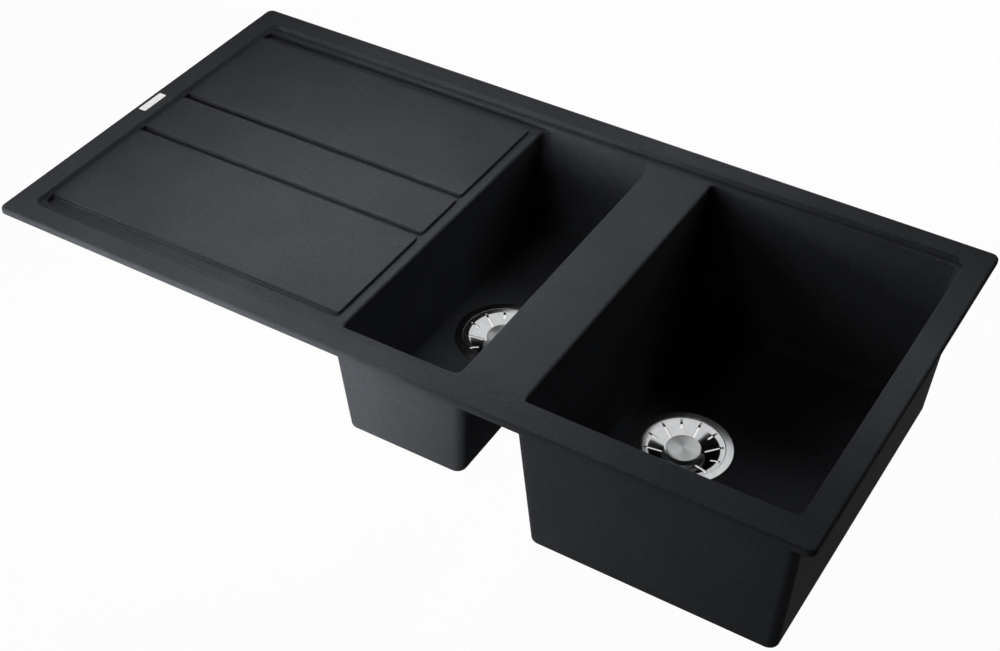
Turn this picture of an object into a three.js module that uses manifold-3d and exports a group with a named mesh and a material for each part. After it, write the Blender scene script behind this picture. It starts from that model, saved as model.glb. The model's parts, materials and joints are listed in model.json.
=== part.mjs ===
// Double bowl kitchen sink with a drainer: one moulded composite body and two basket wastes.
// Millimetres. +X runs from the drainer to the main bowl, +Y to the back and +Z up.
// The origin is the middle of the outline, on the plane where the rim lies on the worktop.

import * as THREE from 'three';
import { mergeVertices } from 'three/addons/utils/BufferGeometryUtils.js';
import Module from 'manifold-3d';

const wasm = await Module();
wasm.setup();

// ---------------------------------------------------------------- driving dimensions

// Outline and rim
const sinkLength = 1000;
const sinkWidth = 510;
const outlineCornerRadius = 9;
const rimThickness = 8;
const rimWidth = 29.5;
const rimTopEdgeRadius = 3.5;
const rimUnderEdge = 1;

// Moulding wall and draft
const wallThickness = 9;
const draftDegrees = 4;

// Recess inside the rim
const recessDrop = 5;
const recessEdgeRadius = 5;
const recessCornerRadius = 9;
const mainBowlRimEdge = 1.5;
const ledgeWidth = 10.5;
const frontLedgeEnd = 160;

// Drainer
const wetWayDrop = 5;
const channelWidth = 17;
const panelStepWidth = 3;
const panelStepHeight = 2.5;
const panelEdgeRadius = 1;
const panelCornerRadius = 3;
const grooveWidth = 10;
const grooveSpacing = 82;
const lipWidth = 12.5;
const panelFall = 1;

// Bowls, by their edges at the recess level
const halfBowlLeft = -56;
const halfBowlRight = 92;
const halfBowlDepth = 143;
const halfFloorFillet = 11;
const mainBowlLeft = 168.5;
const mainBowlFront = -218;
const mainBowlDepth = 202;
const mainFloorFillet = 18;
const bowlEdgeRadius = 3;
const bowlCornerRadius = 10;
const bowlCornerGrowth = 9;
const bowlUnderEdgeRadius = 4;
const bowlOuterCornerRadius = 11;
const frontWall = 9.5;
const halfBowlRightWall = 11;
const mainBowlLeftWall = 6.5;
const halfFloorThickness = 10;
const mainFloorThickness = 7.2;
const floorFall = 0.015;

// Drain places
const drainY = -5;
const halfDrainX = 20;
const mainDrainX = 258;
const drainHoleRadius = 45.5;
const drainBossRadius = 62;
const drainBossHeight = 5;

// Waste cup, pressed from sheet
const sheetThickness = 1.2;
const flangeRadius = 57;
const flangeProud = 0.4;
const flangeEdge = 0.6;
const strainerSeatRadius = 48;
const strainerSeatDrop = 2.2;
const cupRadius = 44;
const cupFloorRadius = 36;
const cupDepth = 30;
const plugSeatRadius = 38;
const plugSeatHeight = 4;
const cupHoleCount = 6;
const cupHoleRadius = 6.5;
const cupHoleCircle = 20;

// Strainer plate
const strainerRadius = 47.5;
const strainerShoulderRadius = 40.5;
const strainerShoulderDrop = 0.6;
const strainerFlatRadius = 21;
const strainerDish = 8;
const slotCount = 12;
const slotWidth = 2.8;
const slotOuterRadius = 46;
const longSlotInnerRadius = 24;
const shortSlotInnerRadius = 33;

// Plug
const knobRadius = 19.8;
const knobThickness = 2.4;
const knobBelowFlange = 0.6;
const knobEdge = 0.6;
const knobSocketDepth = 1.4;
const stemRadius = 4;
const bushWall = 2.6;
const bushLength = 4;
const bushFlangeRadius = 10;
const bushFlangeThickness = 1.2;
const plugTravel = 5;
const plugDiscThickness = 2;
const plugFlatRadius = 21;
const plugRimRise = 7.15;
const plugRimInnerRadius = 36.4;
const plugDiscRadius = 38.5;
const plugHubRadius = 8;
const plugHubHeight = 2.8;
const plugSocketDepth = 3;
const sealOuterRadius = 41.6;
const sealArmThickness = 0.8;

// Waste body, gaskets and clamp screw
const bodyGasketThickness = 3;
const bodyFlangeRadius = 56;
const bodyFlangeThickness = 5;
const bodyBarrelRadius = 50.5;
const bodyWall = 3.2;
const bodyBarrelDepth = 19;
const bodyConeHeight = 22;
const outletRadius = 23.9;
const outletWall = 4;
const outletLength = 22;
const hubRadius = 7.5;
const hubLength = 14;
const hubRibThickness = 3;
const hubRibHeight = 10;
const hubRibCount = 3;
const insertRadius = 4;
const insertLength = 12;
const screwRadius = 2.5;
const screwHeadRadius = 6;
const screwHeadHeight = 2;
const screwSlotWidth = 1.2;
const screwSlotDepth = 1;

// Name plate, left bare
const plateLength = 40;
const plateWidth = 10;
const plateThickness = 0.8;
const platePocketDepth = 0.6;
const plateCornerRadius = 1.2;
const plateFromEdge = 11.5;
const plateY = 1.5;

// Clearances between pieces
const fitGap = 0.15;
const runningGap = 0.1;
const slideGap = 0.5;

// Fineness of arcs
const cornerSteps = 6;
const edgeSteps = 3;
const filletSteps = 5;
const slotEndSteps = 4;
const turnSteps = 40;
const smallTurnSteps = 18;
const cutMargin = 2;

// ---------------------------------------------------------------- levels and places worked out

const draft = Math.tan(THREE.MathUtils.degToRad(draftDegrees));
const rimTop = rimThickness;
const recessLevel = rimTop - recessDrop;
const wetWayLevel = recessLevel - wetWayDrop;
const recessHalfX = sinkLength / 2 - rimWidth;
const recessHalfY = sinkWidth / 2 - rimWidth;
const bowlHalfY = recessHalfY - ledgeWidth;
const panelHalfY = bowlHalfY - channelWidth;
const panelRight = halfBowlLeft - lipWidth;
const deckUnder = recessLevel - wallThickness;
const wetWayUnder = wetWayLevel - wallThickness;

const bowls = {
	half: {
		left: halfBowlLeft,
		right: halfBowlRight,
		front: - bowlHalfY,
		floor: rimTop - halfBowlDepth,
		floorThickness: halfFloorThickness,
		walls: { left: wallThickness, right: halfBowlRightWall, front: frontWall, back: wallThickness },
		fillet: halfFloorFillet,
		topEdge: { left: 0, right: bowlEdgeRadius, front: bowlEdgeRadius, back: bowlEdgeRadius },
		drainX: halfDrainX,
	},
	main: {
		left: mainBowlLeft,
		right: recessHalfX,
		front: mainBowlFront,
		floor: rimTop - mainBowlDepth,
		floorThickness: mainFloorThickness,
		walls: { left: mainBowlLeftWall, right: wallThickness, front: frontWall, back: wallThickness },
		fillet: mainFloorFillet,
		topEdge: { left: bowlEdgeRadius, right: 0, front: 0, back: bowlEdgeRadius },
		drainX: mainDrainX,
	},
};

// ---------------------------------------------------------------- solids

function solidFrom( geometry ) {

	const plain = geometry.clone();
	plain.deleteAttribute( 'normal' );
	plain.deleteAttribute( 'uv' );
	const merged = mergeVertices( plain );
	const corners = [];
	for ( let i = 0; i < merged.index.count; i += 3 ) {

		const [ a, b, c ] = [ 0, 1, 2 ].map( ( k ) => merged.index.getX( i + k ) );
		if ( a !== b && b !== c && c !== a ) corners.push( a, b, c );

	}

	return new wasm.Manifold( new wasm.Mesh( {
		numProp: 3,
		vertProperties: new Float32Array( merged.attributes.position.array ),
		triVerts: new Uint32Array( corners ),
	} ) );

}

function geometryFrom( solid ) {

	const mesh = solid.getMesh();
	const geometry = new THREE.BufferGeometry();
	geometry.setAttribute( 'position', new THREE.BufferAttribute( mesh.vertProperties, 3 ) );
	geometry.setIndex( new THREE.BufferAttribute( mesh.triVerts, 1 ) );
	geometry.computeVertexNormals();
	return geometry;

}

// A level rectangle with round corners, counter-clockwise seen from above.
function ring( { left, right, front, back }, radius, z ) {

	const centres = [
		[ right - radius, back - radius ],
		[ left + radius, back - radius ],
		[ left + radius, front + radius ],
		[ right - radius, front + radius ],
	];
	const points = [];
	centres.forEach( ( [ x, y ], quarter ) => {

		for ( let i = 0; i <= cornerSteps; i ++ ) {

			const turn = ( quarter + i / cornerSteps ) * Math.PI / 2;
			const out = new THREE.Vector3( Math.cos( turn ), Math.sin( turn ), 0 );
			points.push( out.multiplyScalar( radius ).add( new THREE.Vector3( x, y, z ) ) );

		}

	} );
	return points;

}

function grown( { left, right, front, back }, by ) {

	return { left: left - by, right: right + by, front: front - by, back: back + by };

}

function middleOf( points ) {

	return points.reduce( ( sum, p ) => sum.add( p ), new THREE.Vector3() ).divideScalar( points.length );

}

// A closed solid through rings of equal count, listed from the lowest to the highest.
function loft( rings ) {

	const count = rings[ 0 ].length;
	const points = rings.flat();
	const lowest = points.push( middleOf( rings[ 0 ] ) ) - 1;
	const highest = points.push( middleOf( rings.at( - 1 ) ) ) - 1;
	const lastRow = ( rings.length - 1 ) * count;
	const index = [];
	for ( let j = 0; j < count; j ++ ) {

		const k = ( j + 1 ) % count;
		for ( let row = 0; row < lastRow; row += count ) {

			index.push( row + j, row + k, row + count + k );
			index.push( row + j, row + count + k, row + count + j );

		}

		index.push( lowest, k, j );
		index.push( highest, lastRow + j, lastRow + k );

	}

	return new THREE.BufferGeometry().setFromPoints( points ).setIndex( index );

}

function prism( bounds, radius, low, high ) {

	return solidFrom( loft( [ ring( bounds, radius, low ), ring( bounds, radius, high ) ] ) );

}

// A solid of revolution about the upright axis at x, y. The profile of [ radius, z ] pairs runs
// outwards along the bottom and back inwards along the top.
function turned( profile, x, y, steps = turnSteps ) {

	const points = profile.map( ( [ radius, z ] ) => new THREE.Vector2( radius, z ) );
	const closes = profile[ 0 ][ 0 ] > 0;
	if ( closes ) points.push( points[ 0 ].clone() );
	return solidFrom( new THREE.LatheGeometry( points, steps ).rotateX( Math.PI / 2 ).translate( x, y, 0 ) );

}

function tube( inner, outer, low, high, x, y, steps = turnSteps ) {

	return turned( [ [ inner, low ], [ outer, low ], [ outer, high ], [ inner, high ] ], x, y, steps );

}

function rod( radius, low, high, x, y, steps = turnSteps ) {

	return turned( [ [ 0, low ], [ radius, low ], [ radius, high ], [ 0, high ] ], x, y, steps );

}

// A bar along X from the start to the end radius, with round ends, turned about x, y.
function radialBar( start, end, width, low, high, angle, x, y ) {

	const half = width / 2;
	const outline = new THREE.Shape();
	outline.absarc( start + half, 0, half, Math.PI / 2, Math.PI * 1.5 );
	outline.absarc( end - half, 0, half, - Math.PI / 2, Math.PI / 2 );
	const bar = new THREE.ExtrudeGeometry( outline, {
		depth: high - low,
		bevelEnabled: false,
		curveSegments: slotEndSteps,
	} );
	return solidFrom( bar.translate( 0, 0, low ).rotateZ( angle ).translate( x, y, 0 ) );

}

function joined( solids ) {

	return solids.reduce( ( sum, solid ) => sum.add( solid ) );

}

function cut( solid, tools ) {

	return tools.reduce( ( rest, tool ) => rest.subtract( tool ), solid );

}

const turns = ( count ) => Array.from( { length: count }, ( _, i ) => i * 2 * Math.PI / count );

// ---------------------------------------------------------------- sink body

// Rings of a quarter-round edge that opens outwards up to the level top, by its own amount on each side.
function openingEdge( bounds, radius, top, height, open ) {

	const rings = [];
	for ( let i = 0; i <= edgeSteps; i ++ ) {

		const turn = i / edgeSteps * Math.PI / 2;
		const out = 1 - Math.cos( turn );
		const opened = {
			left: bounds.left - open.left * out,
			right: bounds.right + open.right * out,
			front: bounds.front - open.front * out,
			back: bounds.back + open.back * out,
		};
		rings.push( ring( opened, radius + height * out, top - height * ( 1 - Math.sin( turn ) ) ) );

	}

	return rings;

}

function raised( points, z ) {

	return points.map( ( p ) => new THREE.Vector3( p.x, p.y, z ) );

}

function rimPlate() {

	const outline = {
		left: - sinkLength / 2,
		right: sinkLength / 2,
		front: - sinkWidth / 2,
		back: sinkWidth / 2,
	};
	const rings = [
		ring( grown( outline, - rimUnderEdge ), outlineCornerRadius - rimUnderEdge, 0 ),
		ring( outline, outlineCornerRadius, rimUnderEdge ),
	];
	for ( let i = 0; i <= edgeSteps; i ++ ) {

		const turn = i / edgeSteps * Math.PI / 2;
		const inset = rimTopEdgeRadius * ( 1 - Math.cos( turn ) );
		const z = rimTop - rimTopEdgeRadius * ( 1 - Math.sin( turn ) );
		rings.push( ring( grown( outline, - inset ), outlineCornerRadius - inset, z ) );

	}

	return solidFrom( loft( rings ) );

}

// The deck under the recess, with deeper ways under the channels, the grooves and the lip.
function deckUnderside() {

	const recess = { left: - recessHalfX, right: recessHalfX, front: - recessHalfY, back: recessHalfY };
	const deckRadius = recessCornerRadius + wallThickness;
	const deck = prism( grown( recess, wallThickness ), deckRadius, deckUnder, rimUnderEdge );
	const ways = [
		{ left: - recessHalfX, right: halfBowlLeft, front: - bowlHalfY, back: - panelHalfY },
		{ left: - recessHalfX, right: halfBowlLeft, front: panelHalfY, back: bowlHalfY },
		{ left: panelRight, right: halfBowlLeft, front: - bowlHalfY, back: bowlHalfY },
		...grooveSpans().map( ( [ front, back ] ) => (
			{ left: - recessHalfX, right: halfBowlLeft, front, back }
		) ),
	];
	const under = ways.map( ( way ) => (
		prism( grown( way, wallThickness ), wallThickness, wetWayUnder, deckUnder + rimUnderEdge )
	) );
	return joined( [ deck, ...under ] );

}

function grooveSpans() {

	return [ - 1, 1 ].map( ( side ) => {

		const middle = side * grooveSpacing / 2;
		return [ middle - grooveWidth / 2, middle + grooveWidth / 2 ];

	} );

}

function bowlBounds( bowl ) {

	return { left: bowl.left, right: bowl.right, front: bowl.front, back: bowlHalfY };

}

// How far the drafted wall has moved inwards at a level.
function wallInset( z ) {

	return Math.max( 0, recessLevel - z ) * draft;

}

function cornerRadiusAt( bowl, z, base ) {

	return base + bowlCornerGrowth * ( recessLevel - z ) / ( recessLevel - bowl.floor );

}

// The outside of a bowl, moved inwards by one amount from its walls' outer faces.
function outerBounds( { walls, ...bowl }, inset ) {

	const bounds = bowlBounds( bowl );
	return grown( {
		left: bounds.left - walls.left,
		right: bounds.right + walls.right,
		front: bounds.front - walls.front,
		back: bounds.back + walls.back,
	}, - inset );

}

function bowlOutside( bowl ) {

	const under = bowl.floor - bowl.floorThickness;
	const rings = [];
	for ( let i = 0; i <= filletSteps; i ++ ) {

		const turn = i / filletSteps * Math.PI / 2;
		const z = under + bowlUnderEdgeRadius * ( 1 - Math.cos( turn ) );
		const inset = wallInset( z ) + bowlUnderEdgeRadius * ( 1 - Math.sin( turn ) );
		rings.push( ring( outerBounds( bowl, inset ), bowlOuterCornerRadius, z ) );

	}

	rings.push( ring( outerBounds( bowl, wallInset( 0 ) ), bowlOuterCornerRadius, 0 ) );
	const shell = solidFrom( loft( rings ) );
	const boss = rod( drainBossRadius, under - drainBossHeight, under + cutMargin, bowl.drainX, drainY );
	return shell.add( boss );

}

function bowlInside( bowl ) {

	const bounds = bowlBounds( bowl );
	const rings = [];
	for ( let i = 0; i <= filletSteps; i ++ ) {

		const turn = i / filletSteps * Math.PI / 2;
		const z = bowl.floor + bowl.fillet * ( 1 - Math.cos( turn ) );
		const inset = wallInset( z ) + bowl.fillet * ( 1 - Math.sin( turn ) );
		rings.push( ring( grown( bounds, - inset ), cornerRadiusAt( bowl, z, bowlCornerRadius ), z ) );

	}

	const edge = openingEdge( bounds, bowlCornerRadius, recessLevel, bowlEdgeRadius, bowl.topEdge );
	rings.push( ...edge, raised( edge.at( - 1 ), rimTop + cutMargin ) );
	return cut( solidFrom( loft( rings ) ), [ floorFill( bowl ) ] );

}

// What stays under the floor, which falls to the drain from all round.
function floorFill( bowl ) {

	const reach = sinkLength / 2;
	const rise = ( reach - flangeRadius ) * floorFall;
	return turned( [
		[ flangeRadius, bowl.floor - cutMargin ],
		[ reach, bowl.floor - cutMargin ],
		[ reach, bowl.floor + rise ],
		[ flangeRadius, bowl.floor ],
	], bowl.drainX, drainY );

}

// The seat for the flange and its gasket, and the hole for the cup.
function drainCut( bowl ) {

	const clear = flangeRadius + slideGap;
	const low = bossUnder( bowl ) - cutMargin;
	const seat = rod( clear, seatLevel( bowl ), bowl.floor + bowl.fillet, bowl.drainX, drainY );
	return seat.add( rod( drainHoleRadius, low, bowl.floor, bowl.drainX, drainY ) );

}

function recessCuts() {

	const open = {
		left: recessEdgeRadius,
		right: recessEdgeRadius,
		front: recessEdgeRadius,
		back: recessEdgeRadius,
	};
	const spans = [
		[ { left: - recessHalfX, right: frontLedgeEnd, front: - recessHalfY, back: recessHalfY }, open ],
		[
			{ left: halfBowlRight, right: recessHalfX, front: mainBowlFront, back: recessHalfY },
			{ ...open, right: mainBowlRimEdge, front: mainBowlRimEdge },
		],
	];
	return spans.map( ( [ bounds, opening ] ) => {

		const edge = openingEdge( bounds, recessCornerRadius, rimTop, recessEdgeRadius, opening );
		return solidFrom( loft( [ ...edge, raised( edge.at( - 1 ), rimTop + cutMargin ) ] ) );

	} );

}

// A raised panel of the drainer: a stepped foot, then the panel with a rounded top edge.
function drainerPanel( front, back, stepFront, stepBack ) {

	const top = { left: - recessHalfX - cutMargin, right: panelRight, front, back };
	const foot = { ...top, front: front - stepFront, back: back + stepBack };
	const rounded = grown( top, - panelEdgeRadius );
	const footTop = wetWayLevel + panelStepHeight;
	const low = wetWayLevel - cutMargin;
	const panel = solidFrom( loft( [
		ring( top, panelCornerRadius, low ),
		ring( top, panelCornerRadius, recessLevel - panelEdgeRadius ),
		ring( rounded, panelCornerRadius - panelEdgeRadius / 2, recessLevel ),
	] ) );
	return panel.add( prism( foot, panelCornerRadius, low, footTop ) );

}

// The panels fall a little towards the half bowl.
function tilted( solid ) {

	const run = panelRight + recessHalfX;
	return solid.warp( ( point ) => {

		if ( point[ 2 ] > wetWayLevel ) point[ 2 ] -= panelFall * ( point[ 0 ] + recessHalfX ) / run;

	} );

}

function wetWayCut() {

	const [ frontGroove, backGroove ] = grooveSpans();
	const poolRight = halfBowlLeft + lipWidth;
	const pool = { left: - recessHalfX, right: poolRight, front: - bowlHalfY, back: bowlHalfY };
	const panels = [
		drainerPanel( - panelHalfY, frontGroove[ 0 ], panelStepWidth, 0 ),
		drainerPanel( frontGroove[ 1 ], backGroove[ 0 ], 0, 0 ),
		drainerPanel( backGroove[ 1 ], panelHalfY, 0, panelStepWidth ),
	];
	const whole = prism( pool, recessCornerRadius, wetWayLevel, recessLevel + cutMargin );
	return cut( whole, panels.map( tilted ) );

}

function platePocket() {

	const radius = plateCornerRadius + fitGap;
	return prism( grown( plateBounds(), fitGap ), radius, rimTop - platePocketDepth, rimTop + cutMargin );

}

function plateBounds() {

	const x = - sinkLength / 2 + plateFromEdge;
	return {
		left: x - plateWidth / 2,
		right: x + plateWidth / 2,
		front: plateY - plateLength / 2,
		back: plateY + plateLength / 2,
	};

}

function sinkBody() {

	const outside = joined( [ rimPlate(), deckUnderside(), ...Object.values( bowls ).map( bowlOutside ) ] );
	return cut( outside, [
		...recessCuts(),
		wetWayCut(),
		...Object.values( bowls ).map( bowlInside ),
		...Object.values( bowls ).map( drainCut ),
		platePocket(),
	] );

}

function namePlate() {

	const low = rimTop - platePocketDepth + fitGap;
	return prism( plateBounds(), plateCornerRadius, low, low + plateThickness );

}

// ---------------------------------------------------------------- wastes

const flangeTop = ( bowl ) => bowl.floor + flangeProud;
const strainerSeat = ( bowl ) => flangeTop( bowl ) - strainerSeatDrop;
const seatLevel = ( bowl ) => strainerSeat( bowl ) - sheetThickness - fitGap;
const cupFloor = ( bowl ) => flangeTop( bowl ) - cupDepth;
const plugSeatSlope = plugSeatHeight / ( cupRadius - plugSeatRadius );

// The shoulder inside the cup meets the edge of the seal when the plug is down.
function plugSeatTop( bowl ) {

	const closed = sealLow( bowl ) - plugTravel - fitGap;
	return closed + ( cupRadius - sealOuterRadius ) * plugSeatSlope;

}

function wasteCup( bowl ) {

	const top = flangeTop( bowl );
	const seat = strainerSeat( bowl );
	const shoulder = plugSeatTop( bowl );
	const shoulderFoot = shoulder - plugSeatHeight;
	const floor = cupFloor( bowl );
	const hole = screwRadius + slideGap;
	const cup = turned( [
		[ hole, floor - sheetThickness ],
		[ cupFloorRadius + sheetThickness, floor - sheetThickness ],
		[ plugSeatRadius + sheetThickness, shoulderFoot - sheetThickness / 2 ],
		[ cupRadius + sheetThickness, shoulder - sheetThickness / 2 ],
		[ cupRadius + sheetThickness, seat - sheetThickness ],
		[ strainerSeatRadius + sheetThickness, seat - sheetThickness ],
		[ strainerSeatRadius + sheetThickness, top - sheetThickness ],
		[ flangeRadius, top - sheetThickness ],
		[ flangeRadius, top - flangeEdge ],
		[ flangeRadius - flangeEdge, top ],
		[ strainerSeatRadius, top ],
		[ strainerSeatRadius, seat ],
		[ cupRadius, seat ],
		[ cupRadius, shoulder ],
		[ plugSeatRadius, shoulderFoot ],
		[ cupFloorRadius, floor ],
		[ hole, floor ],
	], bowl.drainX, drainY );
	const holes = turns( cupHoleCount ).map( ( angle ) => {

		const x = bowl.drainX + cupHoleCircle * Math.cos( angle );
		const y = drainY + cupHoleCircle * Math.sin( angle );
		const low = floor - sheetThickness - cutMargin;
		return rod( cupHoleRadius, low, floor + cutMargin, x, y, smallTurnSteps );

	} );
	return cut( cup, holes );

}

function flangeGasket( bowl ) {

	const inner = strainerSeatRadius + sheetThickness + slideGap;
	const outer = flangeRadius - slideGap;
	const low = seatLevel( bowl ) + fitGap;
	const high = flangeTop( bowl ) - sheetThickness - fitGap;
	return tube( inner, outer, low, high, bowl.drainX, drainY );

}

const bossUnder = ( bowl ) => bowl.floor - bowl.floorThickness - drainBossHeight;
const bodyTop = ( bowl ) => bossUnder( bowl ) - bodyGasketThickness - 2 * fitGap;

function bodyGasket( bowl ) {

	const top = bossUnder( bowl ) - fitGap;
	const low = top - bodyGasketThickness;
	return tube( bodyBarrelRadius - bodyWall, bodyFlangeRadius, low, top, bowl.drainX, drainY );

}

function wasteBody( bowl ) {

	const top = bodyTop( bowl );
	const barrelEnd = top - bodyBarrelDepth;
	const coneEnd = barrelEnd - bodyConeHeight;
	const outletEnd = coneEnd - outletLength;
	const bore = outletRadius - outletWall;
	const barrelBore = bodyBarrelRadius - bodyWall;
	const shell = turned( [
		[ bore, outletEnd ],
		[ outletRadius, outletEnd ],
		[ outletRadius, coneEnd ],
		[ bodyBarrelRadius, barrelEnd ],
		[ bodyBarrelRadius, top - bodyFlangeThickness ],
		[ bodyFlangeRadius, top - bodyFlangeThickness ],
		[ bodyFlangeRadius, top ],
		[ barrelBore, top ],
		[ barrelBore, barrelEnd + bodyWall ],
		[ bore, coneEnd + bodyWall ],
	], bowl.drainX, drainY );
	const hubTop = insertTop( bowl );
	const hubEnd = hubTop - hubLength;
	const hub = rod( hubRadius, hubEnd, hubTop, bowl.drainX, drainY, smallTurnSteps );
	const reach = bore + bodyWall;
	const ribTop = hubEnd + hubRibHeight;
	const ribs = turns( hubRibCount ).map( ( angle ) => (
		radialBar( 0, reach, hubRibThickness, hubEnd, ribTop, angle, bowl.drainX, drainY )
	) );
	const socket = rod(
		insertRadius + fitGap,
		hubTop - insertLength - fitGap,
		hubTop + cutMargin,
		bowl.drainX,
		drainY,
		smallTurnSteps,
	);
	const screwHole = screwRadius + slideGap;
	const screwWay = rod( screwHole, hubEnd - cutMargin, hubTop, bowl.drainX, drainY, smallTurnSteps );
	return cut( joined( [ shell, hub, ...ribs ] ), [ socket, screwWay ] );

}

// The insert's top lies a little above the foot of the cone.
function insertTop( bowl ) {

	return bodyTop( bowl ) - bodyBarrelDepth - bodyConeHeight + insertLength / 2;

}

function threadedInsert( bowl ) {

	const top = insertTop( bowl );
	const bore = screwRadius + runningGap;
	return tube( bore, insertRadius, top - insertLength, top, bowl.drainX, drainY, smallTurnSteps );

}

function clampScrew( bowl ) {

	const seat = cupFloor( bowl ) + fitGap;
	const headTop = seat + screwHeadHeight;
	const end = insertTop( bowl ) - insertLength;
	const screw = turned( [
		[ 0, end ],
		[ screwRadius, end ],
		[ screwRadius, seat ],
		[ screwHeadRadius, seat ],
		[ screwHeadRadius, headTop - screwSlotDepth ],
		[ screwHeadRadius - screwSlotDepth, headTop ],
		[ 0, headTop ],
	], bowl.drainX, drainY, smallTurnSteps );
	const reach = screwHeadRadius + cutMargin;
	const slotLow = headTop - screwSlotDepth;
	const slotHigh = headTop + cutMargin;
	const slot = radialBar( - reach, reach, screwSlotWidth, slotLow, slotHigh, 0, bowl.drainX, drainY );
	return cut( screw, [ slot ] );

}

// ---------------------------------------------------------------- strainers and plugs

const shoulderSlope = strainerShoulderDrop / ( strainerRadius - strainerShoulderRadius );
const rimLift = ( strainerRadius - cupRadius ) * shoulderSlope;
const strainerRimUnder = ( bowl ) => strainerSeat( bowl ) + runningGap + rimLift;
const strainerFlat = ( bowl ) => strainerRimUnder( bowl ) + sheetThickness - strainerDish;

function strainerPlate( bowl ) {

	const rimUnder = strainerRimUnder( bowl );
	const shoulder = rimUnder - strainerShoulderDrop;
	const flat = strainerFlat( bowl );
	const hole = stemRadius + runningGap + bushWall + fitGap;
	const dish = turned( [
		[ hole, flat - sheetThickness ],
		[ strainerFlatRadius, flat - sheetThickness ],
		[ strainerShoulderRadius, shoulder ],
		[ strainerRadius, rimUnder ],
		[ strainerRadius, rimUnder + sheetThickness ],
		[ strainerShoulderRadius, shoulder + sheetThickness ],
		[ strainerFlatRadius, flat ],
		[ hole, flat ],
	], bowl.drainX, drainY );
	const low = flat - sheetThickness;
	const high = rimUnder + sheetThickness + cutMargin;
	const slots = turns( slotCount ).map( ( angle, i ) => {

		const start = i % 2 === 0 ? shortSlotInnerRadius : longSlotInnerRadius;
		return radialBar( start, slotOuterRadius, slotWidth, low, high, angle, bowl.drainX, drainY );

	} );
	return cut( dish, slots );

}

// The bush stands in the strainer's hole, with its flange under the plate.
function stemBush( bowl ) {

	const top = strainerFlat( bowl );
	const bore = stemRadius + runningGap;
	const under = top - sheetThickness - fitGap;
	return turned( [
		[ bore, top - bushLength ],
		[ bore + bushWall, top - bushLength ],
		[ bore + bushWall, under - bushFlangeThickness ],
		[ bushFlangeRadius, under - bushFlangeThickness ],
		[ bushFlangeRadius, under ],
		[ bore + bushWall, under ],
		[ bore + bushWall, top ],
		[ bore, top ],
	], bowl.drainX, drainY, smallTurnSteps );

}

const knobTop = ( bowl ) => flangeTop( bowl ) - knobBelowFlange;
const knobUnder = ( bowl ) => knobTop( bowl ) - knobThickness;
const discTop = ( bowl ) => strainerFlat( bowl ) - bushLength - fitGap;
const plugRimTop = ( bowl ) => discTop( bowl ) + plugRimRise;
const plugRimUnder = ( bowl ) => plugRimTop( bowl ) - plugDiscThickness;
const sealLow = ( bowl ) => plugRimUnder( bowl ) - fitGap - sealArmThickness;

function plugKnob( bowl ) {

	const top = knobTop( bowl );
	const under = knobUnder( bowl );
	const socket = stemRadius + fitGap;
	return turned( [
		[ 0, under + knobSocketDepth ],
		[ socket, under + knobSocketDepth ],
		[ socket, under ],
		[ knobRadius - knobEdge, under ],
		[ knobRadius, under + knobEdge ],
		[ knobRadius, top - knobEdge ],
		[ knobRadius - knobEdge, top ],
		[ 0, top ],
	], bowl.drainX, drainY );

}

function plugStem( bowl ) {

	const high = knobUnder( bowl ) + knobSocketDepth - fitGap;
	const low = discTop( bowl ) - plugSocketDepth + fitGap;
	return rod( stemRadius, low, high, bowl.drainX, drainY, smallTurnSteps );

}

// A dished disc under the strainer plate, with a hub that holds the stem.
function plugDisc( bowl ) {

	const top = discTop( bowl );
	const under = top - plugDiscThickness;
	const rimTopLevel = plugRimTop( bowl );
	const rimUnderLevel = plugRimUnder( bowl );
	const socket = stemRadius + fitGap;
	return turned( [
		[ 0, under - plugHubHeight ],
		[ plugHubRadius, under - plugHubHeight ],
		[ plugHubRadius, under ],
		[ plugFlatRadius, under ],
		[ plugRimInnerRadius, rimUnderLevel ],
		[ plugDiscRadius, rimUnderLevel ],
		[ plugDiscRadius, rimTopLevel ],
		[ plugRimInnerRadius, rimTopLevel ],
		[ plugFlatRadius, top ],
		[ socket, top ],
		[ socket, top - plugSocketDepth ],
		[ 0, top - plugSocketDepth ],
	], bowl.drainX, drainY );

}

// The seal wraps the edge of the disc.
function plugSeal( bowl ) {

	const grooveTop = plugRimTop( bowl ) + fitGap;
	const grooveLow = plugRimUnder( bowl ) - fitGap;
	const inner = plugRimInnerRadius + 2 * fitGap;
	const web = plugDiscRadius + fitGap;
	return turned( [
		[ inner, sealLow( bowl ) ],
		[ sealOuterRadius, sealLow( bowl ) ],
		[ sealOuterRadius, grooveTop + sealArmThickness ],
		[ inner, grooveTop + sealArmThickness ],
		[ inner, grooveTop ],
		[ web, grooveTop ],
		[ web, grooveLow ],
		[ inner, grooveLow ],
	], bowl.drainX, drainY );

}

// ---------------------------------------------------------------- finishes

const finishes = {
	composite: { color: 0x36373a, roughness: 0.55, metalness: 0 },
	satinSteel: { color: 0xd9d9d6, roughness: 0.35, metalness: 1 },
	polishedSteel: { color: 0xc4c6c8, roughness: 0.12, metalness: 1 },
	brushedSteel: { color: 0xb9bbbd, roughness: 0.28, metalness: 1 },
	blackRubber: { color: 0x1b1b1c, roughness: 0.8, metalness: 0 },
	greyPlastic: { color: 0x2b2c2e, roughness: 0.5, metalness: 0 },
	whitePlastic: { color: 0xe6e7e4, roughness: 0.45, metalness: 0 },
	whiteSilicone: { color: 0xe2e3e0, roughness: 0.6, metalness: 0 },
	brass: { color: 0xb08d4a, roughness: 0.35, metalness: 1 },
};

function piece( name, solid, finish ) {

	const material = new THREE.MeshStandardMaterial( finishes[ finish ] );
	const mesh = new THREE.Mesh( geometryFrom( solid ), material );
	mesh.name = name;
	return mesh;

}

// ---------------------------------------------------------------- assembly

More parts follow.
